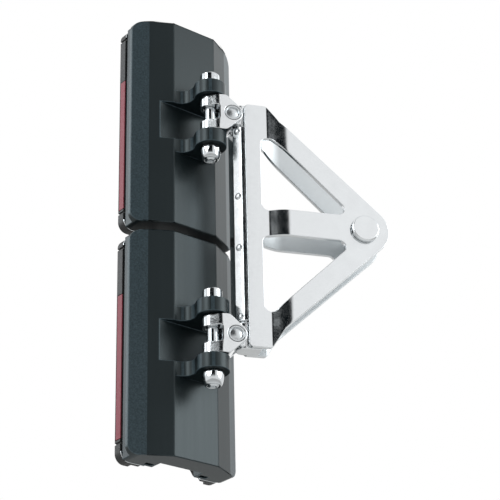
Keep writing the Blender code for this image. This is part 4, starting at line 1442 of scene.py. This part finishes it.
    def bolt(self) -> Object:
        """Shape the clevis bolt along Z: a plain round head, a shank and a dished end.

        Returns:
            The bolt in a frame on its axis at the middle of the clevis.
        """
        seat = self.ear_outer + self.fit
        top = seat + self.bolt_head[1]
        head, shank = self.bolt_head[0] / 2, self.bolt_diameter / 2
        end = -(self.ear_outer + self.fit + self.nut_height + self.bolt_standout)
        chamfer, dish = self.bolt_end_chamfer, self.bolt_end_dish
        side, rim, floor = self.bolt_end_rounds
        profile = fillet(round_head(head, seat, top, self.bolt_head_edge) + [
            ((shank, seat), 0.0),
            ((shank, end + chamfer[1]), side),
            ((shank - chamfer[0], end), rim),
            ((shank - dish[0], end + dish[1]), floor),
            ((0.0, end + dish[1]), 0.0),
        ], closed=False)
        return socketed(turned(profile, ROUND_SIDES), self.bolt_socket, top)

    def nut(self) -> Object:
        """Shape the lock nut: a hexagon rounded off to a dome towards the bolt's end.

        Returns:
            The nut in a frame on the bolt's axis at the middle of the clevis.
        """
        outer, rim = self.nut_diameter / 2, self.nut_end_diameter / 2
        top = -self.ear_outer - self.fit
        shoulder, end = top - self.nut_shoulder, top - self.nut_height
        blank = [(0.0, top + CUT_PAST), (outer, top + CUT_PAST), (outer, shoulder)]
        for across_part, along_part in arc((0.0, 0.0), 1.0, 0.0, math.pi / 2)[1:]:
            blank.append((rim + (outer - rim) * across_part, shoulder + (end - shoulder) * along_part))
        blank.append((0.0, end))
        nut = turned(blank, ROUND_SIDES)
        combine(nut, Operation.COMMON, prism(hexagon(self.nut_flats), end - CUT_PAST, top))
        bore = cylinder(self.bolt_diameter / 2 + self.fit, end - CUT_PAST, top + CUT_PAST)
        return soften(cut(nut, bore), *self.nut_edge)

    def build(self, hardware: Tree, balls: Tree) -> None:
        """Make and dress every piece of the car.

        Args:
            hardware: Tree that seats fasteners.
            balls: Tree that lays a row of balls.
        """
        name, body = self.position.prefix, self.body_name
        dress(self.extrusion(), f"{name}_extrusion", self.place, ANODISED, body, [f"{name}_car_body"])
        screw = self.guide_screw()
        screw_y = self.y(self.guide_bottom - self.groove_depth + self.fit)
        seats = []
        screw_nodes = []
        for side in Side:
            label = side.name.lower()
            for shape, piece, finish, node in (
                (self.retainer(side), "retainer_plate", TURNED_STEEL, "retainer"),
                (self.guide(side), "guide_moulding", GUIDE_NYLON, "guide"),
                (self.stripe(side), "red_strip", STRIP_VINYL, "stripe"),
            ):
                dress(shape, f"{name}_{piece}_{label}", self.place, finish, body, [f"{name}_{node}_{label}"])
            x, depth = self.ball_centre
            row = balls.grow([], {
                "Count": self.ball_count,
                "Pitch": self.ball_pitch,
                "Diameter": self.ball_diameter,
                "Finish": BALL_ACETAL.material(),
            })
            row_place = self.place @ Matrix.Translation((side.value * x, self.y(depth), 0.0))
            dress(row, f"{name}_balls_{label}", row_place, BALL_ACETAL, body, [f"{name}_ball_row_{label}"])
            for z, end in ((self.screw_z, "top"), (-self.screw_z, "bottom")):
                seats.append((side.value * self.screw_x, screw_y, z))
                screw_nodes.append(f"{name}_guide_screw_{label}_{end}")
        screws = hardware.grow(seats, {
            "Fastener": screw,
            "Turn": (-math.pi / 2, 0.0, 0.0),
            "Finish": TURNED_STEEL.material(),
        })
        dress(screws, f"{name}_guide_screws", self.place, TURNED_STEEL, body, screw_nodes)
        bpy.data.objects.remove(screw)
        bolt_place = self.place @ Matrix.Translation((0.0, self.y(-self.bolt_offset), 0.0))
        dress(self.bolt(), f"{name}_clevis_bolt", bolt_place, TURNED_STEEL, body, [f"{name}_bolt"])
        dress(self.nut(), f"{name}_lock_nut", bolt_place, TURNED_STEEL, body, [f"{name}_nut"])


@dataclass
class Toggle:
    """Forged toggle on a clevis bolt, and the pin through its cheeks.

    Reaches are measured from the bolt's axis. The dish is a diameter and a depth, and its crown a height.
    """

    position: CarPosition
    half_height: float = 13.6
    reach: float = TOGGLE_REACH
    edge: Edge = (0.5, 12.0, 3)
    barrel_radius: float = 7.0
    slot_half_width: float = 6.25
    slot_radius: float = 7.35
    cheek_outer: float = 9.5
    cheek_full_reach: float = 3.2
    spread_round: float = 6.0
    nose_radius: float = 7.2
    shoulder_radius: float = 4.0
    shoulder_reach: float = 8.0
    window_height: float = 11.3
    window_reach: float = 4.6
    window_corner: float = 1.8
    bolt_hole: float = 8.6
    pin_diameter: float = 11.0
    pin_fit: float = 0.3
    pin_recess: float = 0.1
    pin_rounds: Point = (0.2, 0.35)
    dish: Point = (9.0, 0.9)
    dish_slope: float = 0.5
    crown: float = 0.75

    @property
    def place(self) -> Matrix:
        """Frame of the toggle in the row frame."""
        spot = Matrix.Translation((0.0, BOLT_Y, self.position.value * CLEVIS_HEIGHT))
        return spot @ Matrix.Rotation(HEADING, 4, "Z")

    def cheek_outline(self) -> list[Point]:
        """Side view of the toggle.

        Returns:
            Outline of a round nose on the pin that widens to the barrel and runs past it.
        """
        nose = Vector((self.reach, 0.0))
        shoulder = Vector((self.shoulder_reach, self.half_height - self.shoulder_radius))
        link = shoulder - nose
        lean = math.atan2(link.y, link.x)
        lean -= math.acos((self.nose_radius - self.shoulder_radius) / link.length)
        upper = arc(tuple(nose), self.nose_radius, 0.0, lean)[1:]
        upper += arc(tuple(shoulder), self.shoulder_radius, lean, math.pi / 2)
        upper.append((-self.barrel_radius - CUT_PAST, self.half_height))
        lower = [(x, -z) for x, z in reversed(upper)]
        return [(self.reach + self.nose_radius, 0.0)] + upper + lower

    def plan(self) -> list[Point]:
        """Plan of the toggle.

        Returns:
            Outline of a round barrel whose sides spread from it to the full width of the cheeks.
        """
        spread = Vector((self.cheek_full_reach, self.cheek_outer))
        leave = math.atan2(spread.y, spread.x) + math.acos(self.barrel_radius / spread.length)
        end = self.reach + self.nose_radius + CUT_PAST
        corners = [
            ((end, -self.cheek_outer), 0.0),
            ((end, self.cheek_outer), 0.0),
            (tuple(spread), self.spread_round),
        ]
        corners += [(point, 0.0) for point in arc((0.0, 0.0), self.barrel_radius, leave, math.tau - leave)]
        corners.append(((self.cheek_full_reach, -self.cheek_outer), self.spread_round))
        return fillet(corners)

    def forging(self) -> Object:
        """Shape the toggle: a barrel with a window, and cheeks with a slot for the bracket's eye.

        Returns:
            The toggle in its own frame.
        """
        height = self.half_height
        through = self.cheek_outer + CUT_PAST
        toggle = prism(self.plan(), -height - CUT_PAST, height + CUT_PAST)
        combine(toggle, Operation.COMMON, prism(self.cheek_outline(), -through, through, Along.Y))
        pin_axis = across(self.reach, 0.0)
        slot = cylinder(self.slot_radius, -self.slot_half_width, self.slot_half_width, pin_axis)
        past = height + CUT_PAST
        mouth = box(
            (self.reach, -self.slot_half_width, -past),
            (self.reach + self.nose_radius + CUT_PAST, self.slot_half_width, past),
        )
        half_window = self.window_height / 2
        window_start = -self.barrel_radius - CUT_PAST
        window = fillet([
            ((window_start, -half_window), 0.0),
            ((self.window_reach, -half_window), self.window_corner),
            ((self.window_reach, half_window), self.window_corner),
            ((window_start, half_window), 0.0),
        ])
        cut(toggle, slot, mouth, prism(window, -through, through, Along.Y))
        cut(toggle, cylinder(self.bolt_hole / 2, -past, past))
        cut(toggle, cylinder(self.pin_diameter / 2 + self.pin_fit, -through, through, pin_axis))
        return soften(toggle, *self.edge)

    def pin(self) -> Object:
        """Shape the plain pin through the cheeks and the eye, with a crown in a dish at both ends.

        Returns:
            The pin in the toggle's frame.
        """
        end = self.cheek_outer - self.pin_recess
        radius = self.pin_diameter / 2
        rim, floor = self.dish[0] / 2, end - self.dish[1]
        edge = rim - self.dish_slope
        ball = (edge ** 2 + self.crown ** 2) / (2 * self.crown)
        crown = arc((0.0, floor + self.crown - ball), ball, math.pi / 2, math.acos(edge / ball))
        inner_round, outer_round = self.pin_rounds
        upper = [(point, 0.0) for point in crown] + [((rim, end), inner_round), ((radius, end), outer_round)]
        lower = [((r, -z), rounding) for (r, z), rounding in reversed(upper)]
        return turned(fillet(upper + lower, closed=False), ROUND_SIDES, across(self.reach, 0.0))

    def build(self) -> None:
        """Make and dress both pieces."""
        name, body = self.position.prefix, f"{self.position.prefix}_toggle_body"
        dress(self.forging(), f"{name}_toggle_forging", self.place, PLATE_STEEL, body, [f"{name}_toggle"])
        dress(self.pin(), f"{name}_dished_pin", self.place, PEENED_STEEL, body, [f"{name}_toggle_pin"])


@dataclass
class Bracket:
    """Triangular bracket: a spine bar between two bent plates, with rivets and the apex pin.

    Starts, ends and reaches are measured from the bolts' axis. A head, washer or clip is a diameter and a
    thickness, and each bend of the joggle is where it starts and ends.
    """

    edge: Edge = (0.5, 14.0, 3)
    bar_thickness: float = 12.0
    bar_start: float = 15.2
    bar_end: float = 31.5
    bar_half_height: float = 91.0
    nose_start: float = 14.6
    nose_half_width: float = 9.2
    nose_half_height: float = 72.5
    nose_near_chamfer: float = 5.0
    nose_near_round: float = 4.9
    nose_far_chamfer: float = 1.0
    eye_radius: float = 7.0
    eye_relief: float = 0.1
    pin_hole: float = 11.6
    rivet_head: Point = (5.2, 1.2)
    rivet_stand: float = 0.02
    rivet_heights: tuple[float, ...] = (69.3, 19.2, -19.2, -69.3)
    fit: float = 0.3
    plate_thickness: float = 3.0
    plate_inner: float = 6.2
    plate_start: float = 22.0
    plate_half_height: float = 90.6
    plate_corner: float = 3.0
    plate_top_end: float = 37.5
    shoulder: Point = (46.0, 77.1)
    shoulder_round: float = 3.0
    edge_round: float = 0.5
    joggle_bend: Point = (37.2, 38.6)
    joggle_ease: Point = (42.0, 52.0)
    joggle_offset: float = 4.3
    joggle_strips: int = 30
    strip_spread: float = 1.5
    strip_snap: float = 1e-5
    inner_facing: float = -0.5
    apex_reach: float = 103.0
    apex_radius: float = 17.5
    slot_start: float = 33.0
    slot_round: float = 4.6
    middle_arm_half_width: float = 9.7
    arm_rise: float = 18.1
    arm_run: float = 22.5
    apex_pin_diameter: float = 12.0
    apex_head: Point = (19.2, 3.0)
    apex_head_edge: Triple = (0.9, 0.5, 0.25)
    washer: Point = (18.0, 1.5)
    washer_rounds: Point = (0.2, 0.3)
    clip: Point = (16.0, 1.0)
    clip_opening: float = math.radians(70.0)
    clip_edge: Point = (0.15, 20.0)
    clip_groove: float = 1.0
    groove_round: float = 0.1
    apex_pin_tail: float = 2.5
    apex_end_round: float = 0.7

    @property
    def place(self) -> Matrix:
        """Frame of the bracket in the row frame."""
        return Matrix.Translation((0.0, BOLT_Y, 0.0)) @ Matrix.Rotation(HEADING, 4, "Z")

    @property
    def bar_round(self) -> float:
        """Radius of the bar's half-round front."""
        return self.bar_thickness / 2

    @property
    def bar_round_centre(self) -> float:
        """X of the axis of that round."""
        return self.bar_start + self.bar_round

    @property
    def arm_outer(self) -> float:
        """Distance of the arms' outer faces from the middle of the bracket."""
        return self.plate_inner + self.joggle_offset + self.plate_thickness

    @property
    def rivet_out(self) -> Vector:
        """Direction that the rivets face."""
        return Vector((-1.0, -1.0, 0.0)).normalized()

    def rivet_seats(self) -> list[Vector]:
        """Middle of each rivet's seat on the near chamfer of the nose.

        Returns:
            The seats, from the top down.
        """
        half = self.nose_near_chamfer / 2
        x, y = self.nose_start + half, half - self.nose_half_width
        stand = self.rivet_out * self.rivet_stand
        return [Vector((x, y, z)) + stand for z in self.rivet_heights]

    def nose_outline(self) -> list[Point]:
        """Section of the nose between the toggles.

        Returns:
            Outline that lies flush with the outside of both plates.
        """
        wide, near, far = self.nose_half_width, self.nose_near_chamfer, self.nose_far_chamfer
        back = self.plate_start - self.fit
        return fillet([
            ((self.nose_start, near - wide), 0.0),
            ((self.nose_start + near, -wide), self.nose_near_round),
            ((back, -wide), 0.0),
            ((back, wide), 0.0),
            ((self.nose_start + far, wide), 0.0),
            ((self.nose_start, wide - far), 0.0),
        ])

    def spine(self) -> Object:
        """Shape the spine bar with its wide nose and its two eyes.

        Returns:
            The bar in the bracket's frame.
        """
        front = arc((self.bar_round_centre, 0.0), self.bar_round, math.pi / 2, 3 * math.pi / 2)
        outline = front + [(self.bar_end, -self.bar_round), (self.bar_end, self.bar_round)]
        bar = prism(outline, -self.bar_half_height, self.bar_half_height)
        join(bar, prism(self.nose_outline(), -self.nose_half_height, self.nose_half_height))
        face = self.bar_round - self.eye_relief
        past = self.bar_round + CUT_PAST
        root = self.bar_round_centre + CUT_PAST
        for z in (-CLEVIS_HEIGHT, CLEVIS_HEIGHT):
            eye = arc((TOGGLE_REACH, z), self.eye_radius, math.pi / 2, 3 * math.pi / 2)
            eye += [(root, z - self.eye_radius), (root, z + self.eye_radius)]
            join(bar, prism(eye, -face, face, Along.Y))
            cut(bar, cylinder(self.pin_hole / 2, -past, past, across(TOGGLE_REACH, z)))
        return soften(bar, *self.edge)

    def rivet(self) -> Object:
        """Shape the head of one rivet along Z, with its underside at z = 0; its shank can't be seen.

        Returns:
            A low dome.
        """
        head, height = self.rivet_head[0] / 2, self.rivet_head[1]
        dome_radius = (head ** 2 + height ** 2) / (2 * height)
        rim = math.asin((dome_radius - height) / dome_radius)
        dome = arc((0.0, height - dome_radius), dome_radius, math.pi / 2, rim)
        return turned([(0.0, height)] + dome[1:] + [(0.0, 0.0)], SMALL_SIDES)

    def plate_outlines(self) -> tuple[list[Point], list[list[Point]]]:
        """Flat pattern of a plate.

        Returns:
            Its outer edge, and its two slots and pin hole.
        """
        fall = math.atan2(self.shoulder[1], self.apex_reach - self.shoulder[0])
        fall -= math.asin(self.apex_radius / math.dist(self.shoulder, (self.apex_reach, 0.0)))
        slope = math.tan(fall)
        vertex = self.shoulder[0] + self.shoulder[1] / slope
        upper = [
            ((self.plate_start, self.plate_half_height), self.plate_corner),
            ((self.plate_top_end, self.plate_half_height), self.shoulder_round),
            (self.shoulder, self.shoulder_round),
        ]
        lower = [((x, -z), radius) for (x, z), radius in reversed(upper)]
        outer = fillet(upper + [((vertex, 0.0), self.apex_radius)] + lower)
        low = self.middle_arm_half_width
        top = (vertex - self.slot_start) * slope - self.arm_rise
        tip = vertex - low / slope - self.arm_run
        slot = fillet([
            ((self.slot_start, low), self.slot_round),
            ((tip, low), self.slot_round),
            ((self.slot_start, top), self.slot_round),
        ])
        hole = arc((self.apex_reach, 0.0), self.apex_pin_diameter / 2 + self.fit, 0.0, math.tau)[:-1]
        other_slot = [(u, -v) for u, v in reversed(slot)]
        return outer, [slot, other_slot, hole]

    def joggle(self, u: float) -> float:
        """How far a plate has stepped outward at a reach: a tight bend, a ramp and a soft bend back.

        Args:
            u: Distance from the bolts' axis.

        Returns:
            Offset from the spine's plane.
        """
        start, ramp = self.joggle_bend
        ease, end = self.joggle_ease
        steepest = self.joggle_offset / ((ramp - start) / 2 + (ease - ramp) + (end - ease) / 2)
        if u <= start:
            return 0.0
        if u <= ramp:
            return steepest * (u - start) ** 2 / (2 * (ramp - start))
        risen = steepest * (ramp - start) / 2
        if u <= ease:
            return risen + steepest * (u - ramp)
        if u < end:
            return self.joggle_offset - steepest * (end - u) ** 2 / (2 * (end - ease))
        return self.joggle_offset

    def flat_plate(self) -> bmesh.types.BMesh:
        """Cut one plate from its flat pattern and round its edges.

        Returns:
            The plate before it is bent, with its thickness along Z.
        """
        outer, holes = self.plate_outlines()
        pattern = bpy.data.curves.new("pattern", "CURVE")
        pattern.dimensions = "2D"
        pattern.fill_mode = "BOTH"
        pattern.extrude = self.plate_thickness / 2 - self.edge_round
        pattern.bevel_depth = self.edge_round
        pattern.bevel_resolution = 2
        pattern.offset = -self.edge_round
        for loop in [outer] + holes:
            spline = pattern.splines.new("POLY")
            spline.points.add(len(loop) - 1)
            spline.use_cyclic_u = True
            for point, (u, v) in zip(spline.points, loop):
                point.co = (u, v, 0.0, 1.0)
        flat = add_object("pattern", pattern)
        mesh = evaluated_mesh(flat)
        bpy.data.objects.remove(flat)
        bm = bmesh.new()
        bm.from_mesh(mesh)
        bpy.data.meshes.remove(mesh)
        bmesh.ops.remove_doubles(bm, verts=bm.verts, dist=SAME_POINT)
        return bm

    def plate(self, face: PlateFace) -> Object:
        """Shape one plate: cut flat, then bent in strips that are narrowest at the tight bend.

        Args:
            face: Side of the bracket that it lies on.

        Returns:
            The plate in the bracket's frame, with an attribute on its faces that is 1 on its inside, where
            the finish paints a darker shade.
        """
        bm = self.flat_plate()
        first, last = self.joggle_bend[0], self.joggle_ease[1]
        for strip in range(self.joggle_strips + 1):
            u = first + (last - first) * (strip / self.joggle_strips) ** self.strip_spread
            bmesh.ops.bisect_plane(
                bm,
                geom=bm.verts[:] + bm.edges[:] + bm.faces[:],
                plane_co=(u, 0.0, 0.0),
                plane_no=(1.0, 0.0, 0.0),
                dist=self.strip_snap,
            )
        middle = self.plate_inner + self.plate_thickness / 2
        for vert in bm.verts:
            u, v, t = vert.co
            vert.co = (u, face.value * (middle + self.joggle(u) + t), v)
        # The flat plate's normals are out of date here, and what turns the faces outward reads them
        bm.normal_update()
        shape = to_object(bm)
        normals = shape.modifiers.new("normals", "WEIGHTED_NORMAL")
        normals.keep_sharp = True
        freeze(shape)
        # Inner faces, which the steel finish paints darker as the shade between the plates
        inner = [float(part.normal.y * face.value < self.inner_facing) for part in shape.data.polygons]
        shape.data.attributes.new(SHADED_INNER_FACE, "FLOAT", "FACE").data.foreach_set("value", inner)
        return shape

    def apex_pin(self) -> Object:
        """Shape the headed pin across both plates, with a clip groove past the far one.

        Returns:
            The pin in the bracket's frame.
        """
        radius, head = self.apex_pin_diameter / 2, self.apex_head[0] / 2
        seat = self.arm_outer + self.fit
        top = seat + self.apex_head[1]
        groove_top = -(self.arm_outer + self.fit + self.washer[1])
        groove_low = groove_top - self.clip[1] - 2 * self.fit
        neck = radius - self.clip_groove
        end = groove_low - self.apex_pin_tail
        profile = fillet(round_head(head, seat, top, self.apex_head_edge) + [
            ((radius, seat), 0.0),
            ((radius, groove_top), self.groove_round),
            ((neck, groove_top), 0.0),
            ((neck, groove_low), 0.0),
            ((radius, groove_low), self.groove_round),
            ((radius, end), self.apex_end_round),
            ((0.0, end), 0.0),
        ], closed=False)
        return turned(profile, ROUND_SIDES, across(self.apex_reach, 0.0, -1.0))

    def flat_washer(self) -> Object:
        """Shape the flat washer on the far side.

        Returns:
            The washer in the bracket's frame.
        """
        inner, outer = self.apex_pin_diameter / 2 + self.fit, self.washer[0] / 2
        low = self.arm_outer + self.fit
        high = low + self.washer[1]
        slight, full = self.washer_rounds
        corners = [((inner, high), slight), ((outer, high), full)]
        corners += [((outer, low), slight), ((inner, low), slight)]
        return turned(fillet(corners), ROUND_SIDES, across(self.apex_reach, 0.0))

    def retaining_clip(self) -> Object:
        """Shape the open retaining clip in the pin's groove.

        Returns:
            The clip in the bracket's frame.
        """
        inner = self.apex_pin_diameter / 2 - self.clip_groove + self.fit
        start, end = self.clip_opening / 2, math.tau - self.clip_opening / 2
        centre = (self.apex_reach, 0.0)
        outline = arc(centre, self.clip[0] / 2, start, end) + arc(centre, inner, end, start)
        low = self.arm_outer + self.washer[1] + 2 * self.fit
        return soften(prism(outline, low, low + self.clip[1], Along.Y), *self.clip_edge)

    def build(self, hardware: Tree) -> None:
        """Make and dress every piece of the bracket.

        Args:
            hardware: Tree that seats fasteners.
        """
        body = "bracket"
        for shape, name, finish, node in (
            (self.spine(), "spine_with_eyes", PLATE_STEEL, "spine_bar"),
            (self.plate(PlateFace.NEAR), "bent_plate_near", PLATE_STEEL, "near_plate"),
            (self.plate(PlateFace.FAR), "bent_plate_far", PLATE_STEEL, "far_plate"),
            (self.apex_pin(), "headed_apex_pin", PLATE_STEEL, "apex_pin"),
            (self.flat_washer(), "flat_apex_washer", TURNED_STEEL, "apex_washer"),
            (self.retaining_clip(), "retaining_clip", TURNED_STEEL, "apex_clip"),
        ):
            dress(shape, name, self.place, finish, body, [node])
        rivet = self.rivet()
        rivets = hardware.grow(self.rivet_seats(), {
            "Fastener": rivet,
            "Turn": tuple(self.rivet_out.to_track_quat("Z", "Y").to_euler()),
            "Finish": PEENED_STEEL.material(),
        })
        nodes = [f"spine_rivet_{index}" for index in range(1, len(self.rivet_heights) + 1)]
        dress(rivets, "nose_rivets", self.place, PEENED_STEEL, body, nodes)
        bpy.data.objects.remove(rivet)


# Studio

@dataclass(frozen=True)
class Softbox:
    """A soft lamp round the object.

    Its bearing is measured from aft towards the right, in degrees, and its distance and size in metres.
    """

    name: str
    bearing: float
    elevation: float
    distance: float
    width: float
    height: float
    brightness: float
    tint: str


@dataclass(frozen=True)
class Flag:
    """A dark cloth that only reflections see, feathered at its left edge and at its other edges."""

    name: str
    bearings: Point
    elevations: Point
    feathers: Point
    density: float
    grey: str

    def cover(self, bearing: float, elevation: float) -> float:
        """How much the cloth hides at one place.

        Args:
            bearing: Bearing of the place.
            elevation: Its elevation.

        Returns:
            A share that eases off towards the edges.
        """
        shares = (
            (bearing - self.bearings[0]) / self.feathers[0],
            (self.bearings[1] - bearing) / self.feathers[1],
            (elevation - self.elevations[0]) / self.feathers[1],
            (self.elevations[1] - elevation) / self.feathers[1],
        )
        share = min(1.0, max(0.0, min(shares)))
        return self.density * share * share * (3.0 - 2.0 * share)

    def cloth(self) -> Material:
        """Dull cloth that thins out towards its edges.

        Returns:
            Its material.
        """
        material = bpy.data.materials.new(f"{self.name}_cloth")
        material.use_nodes = True
        tree = material.node_tree
        tree.nodes.remove(tree.nodes["Principled BSDF"])
        clear = add_node(tree, "ShaderNodeBsdfTransparent").outputs["BSDF"]
        glow = {"Color": linear(self.grey), "Strength": 1.0}
        dull = add_node(tree, "ShaderNodeEmission", inputs=glow).outputs["Emission"]
        share = add_node(tree, "ShaderNodeAttribute", {"attribute_name": FLAG_COVER}).outputs["Fac"]
        mix = add_node(tree, "ShaderNodeMixShader", inputs={0: share, 1: clear, 2: dull})
        tree.links.new(mix.outputs["Shader"], tree.nodes["Material Output"].inputs["Surface"])
        return material


@dataclass
class Studio:
    """Camera, pale floor, white surroundings, soft lamps and the flags that polished metal needs.

    Lengths are in metres, apart from the size of the floor's mottle.
    """

    camera_place: Triple = (-0.633824, -0.860328, -0.535623)
    camera_bearing: float = math.radians(-38.899)
    camera_elevation: float = math.radians(-26.342)
    camera_roll: float = math.radians(1.286)
    # Half of the photograph's width over its focal length, both in pixels
    camera_angle: float = 2 * math.atan(250.0 / 1755.468)
    camera_clip: Point = (0.05, 30.0)
    floor_height: float = -0.9
    floor_size: float = 14.0
    floor_tints: tuple[str, str] = ("#f3f3f1", "#f7f7f6")
    floor_mottle: float = 60.0
    floor_gloss: float = 0.85
    fill: float = 0.55
    lamps: tuple[Softbox, ...] = (
        Softbox("key_softbox", 36.0, 16.5, 1.3, 0.75, 0.75, 3.6, "#f4f9fb"),
        Softbox("right_softbox", 105.0, 37.0, 1.3, 0.9, 0.6, 0.5, "#f4f9fb"),
        Softbox("left_strip_box", -78.0, 27.0, 1.3, 0.46, 0.8, 4.4, "#f4f9fb"),
        Softbox("left_softbox", -141.0, 25.0, 1.3, 0.7, 0.7, 2.2, "#f0f6fb"),
    )
    flags: tuple[Flag, ...] = (
        Flag("left_flag", (-70.0, -11.5), (0.0, 58.0), (7.0, 7.0), 1.0, "#0b1114"),
    )
    flag_distance: float = 2.2
    flag_panels: tuple[int, int] = (24, 16)

    def direction(self, bearing: float, elevation: float) -> Vector:
        """Unit vector towards a bearing and elevation in degrees."""
        b, e = math.radians(bearing), math.radians(elevation)
        return Vector((math.sin(b) * math.cos(e), -math.cos(b) * math.cos(e), math.sin(e)))

    def add_camera(self) -> None:
        """Set up the camera where the photograph was taken from."""
        ahead = Vector((-math.sin(self.camera_bearing), math.cos(self.camera_bearing), 0.0))
        right = Vector((math.cos(self.camera_bearing), math.sin(self.camera_bearing), 0.0))
        look = ahead * math.cos(self.camera_elevation)
        look.z = -math.sin(self.camera_elevation)
        up = right.cross(look)
        tilt_right = right * math.cos(self.camera_roll) - up * math.sin(self.camera_roll)
        tilt_up = right * math.sin(self.camera_roll) + up * math.cos(self.camera_roll)
        turn = Matrix((tilt_right, tilt_up, -look)).transposed().to_4x4()
        data = bpy.data.cameras.new("photo_camera")
        data.angle = self.camera_angle
        data.clip_start, data.clip_end = self.camera_clip
        camera = add_object("photo_camera", data)
        camera.matrix_world = Matrix.Translation(self.camera_place) @ turn
        bpy.context.scene.camera = camera

    def add_world(self) -> None:
        """White surroundings for the camera and for reflections, and a gentler fill for matt surfaces."""
        world = bpy.data.worlds.new("white_studio")
        world.use_nodes = True
        tree = world.node_tree
        path = add_node(tree, "ShaderNodeLightPath").outputs
        mirror = add_node(
            tree,
            "ShaderNodeMath",
            {"operation": "MAXIMUM"},
            {0: path["Is Glossy Ray"], 1: path["Is Transmission Ray"]},
        ).outputs["Value"]
        seen = add_node(
            tree,
            "ShaderNodeMath",
            {"operation": "MAXIMUM"},
            {0: path["Is Camera Ray"], 1: mirror},
        ).outputs["Value"]
        strength = add_node(
            tree,
            "ShaderNodeMapRange",
            inputs={"Value": seen, "To Min": self.fill, "To Max": 1.0},
        )
        white = tree.nodes["Background"]
        white.inputs["Color"].default_value = (1.0, 1.0, 1.0, 1.0)
        tree.links.new(strength.outputs["Result"], white.inputs["Strength"])
        bpy.context.scene.world = world

    def add_floor(self) -> None:
        """Lay the pale floor well below the object, which hangs on its track."""
        half = self.floor_size / 2
        mesh = bpy.data.meshes.new("studio_floor")
        corners = [(-half, -half), (half, -half), (half, half), (-half, half)]
        mesh.from_pydata([(x, y, self.floor_height) for x, y in corners], [], [(0, 1, 2, 3)])
        material = bpy.data.materials.new("pale_studio_floor")
        material.use_nodes = True
        tree = material.node_tree
        place = add_node(tree, "ShaderNodeTexCoord").outputs["Object"]
        mottle = add_node(
            tree,
            "ShaderNodeTexNoise",
            inputs={"Vector": place, "Scale": per_metre(self.floor_mottle), "Detail": 2.0},
        ).outputs["Fac"]
        dark, pale = self.floor_tints
        tint = add_node(
            tree,
            "ShaderNodeMix",
            {"data_type": "RGBA"},
            {"Factor": mottle, MIX_FIRST: linear(dark), MIX_SECOND: linear(pale)},
        ).outputs[MIX_RESULT]
        surface = tree.nodes["Principled BSDF"]
        tree.links.new(tint, surface.inputs["Base Color"])
        surface.inputs["Roughness"].default_value = self.floor_gloss
        mesh.materials.append(material)
        floor = add_object("studio_floor", mesh)

    def add_lamps(self) -> None:
        """Hang the softboxes, each turned towards the object."""
        for lamp in self.lamps:
            towards = self.direction(lamp.bearing, lamp.elevation)
            data = bpy.data.lights.new(lamp.name, "AREA")
            data.shape = "RECTANGLE"
            data.size = lamp.width
            data.size_y = lamp.height
            data.color = linear(lamp.tint)[:3]
            data.energy = lamp.brightness * math.pi * lamp.width * lamp.height
            light = add_object(lamp.name, data)
            facing = towards.to_track_quat("Z", "Y").to_matrix().to_4x4()
            light.matrix_world = Matrix.Translation(towards * lamp.distance) @ facing
            light.visible_camera = False

    def add_flags(self) -> None:
        """Hang the flags round the object."""
        columns, rows = self.flag_panels
        for flag in self.flags:
            points, cover_shares, faces = [], [], []
            for j in range(rows + 1):
                elevation = flag.elevations[0] + (flag.elevations[1] - flag.elevations[0]) * j / rows
                for i in range(columns + 1):
                    bearing = flag.bearings[0] + (flag.bearings[1] - flag.bearings[0]) * i / columns
                    points.append(tuple(self.direction(bearing, elevation) * self.flag_distance))
                    cover_shares.append(flag.cover(bearing, elevation))
            for j in range(rows):
                for i in range(columns):
                    a = j * (columns + 1) + i
                    faces.append((a, a + 1, a + columns + 2, a + columns + 1))
            mesh = bpy.data.meshes.new(flag.name)
            mesh.from_pydata(points, [], faces)
            mesh.attributes.new(FLAG_COVER, "FLOAT", "POINT").data.foreach_set("value", cover_shares)
            mesh.materials.append(flag.cloth())
            cloth = add_object(flag.name, mesh)
            cloth.visible_camera = False
            cloth.visible_diffuse = False
            cloth.visible_shadow = False
            cloth.visible_transmission = False

    def build(self) -> None:
        """Set up the whole studio."""
        bpy.context.scene.view_settings.view_transform = "Standard"
        self.add_camera()
        self.add_world()
        self.add_floor()
        self.add_lamps()
        self.add_flags()


def clear_startup() -> None:
    """Remove the objects that a new file starts with."""
    kept = set(frame["nodes"].values()) | set(frame["bodies"].values())
    for item in list(bpy.data.objects):
        if item not in kept:
            bpy.data.objects.remove(item)


def main() -> None:
    """Build the studio and the object."""
    logging.basicConfig(level=logging.INFO, format="%(name)s: %(message)s")
    clear_startup()
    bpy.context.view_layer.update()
    Studio().build()
    hardware = hardware_tree()
    balls = ball_tree()
    for position in CarPosition:
        TrackCar(position).build(hardware, balls)
        Toggle(position).build()
    Bracket().build(hardware)


if __name__ == "__main__":
    main()
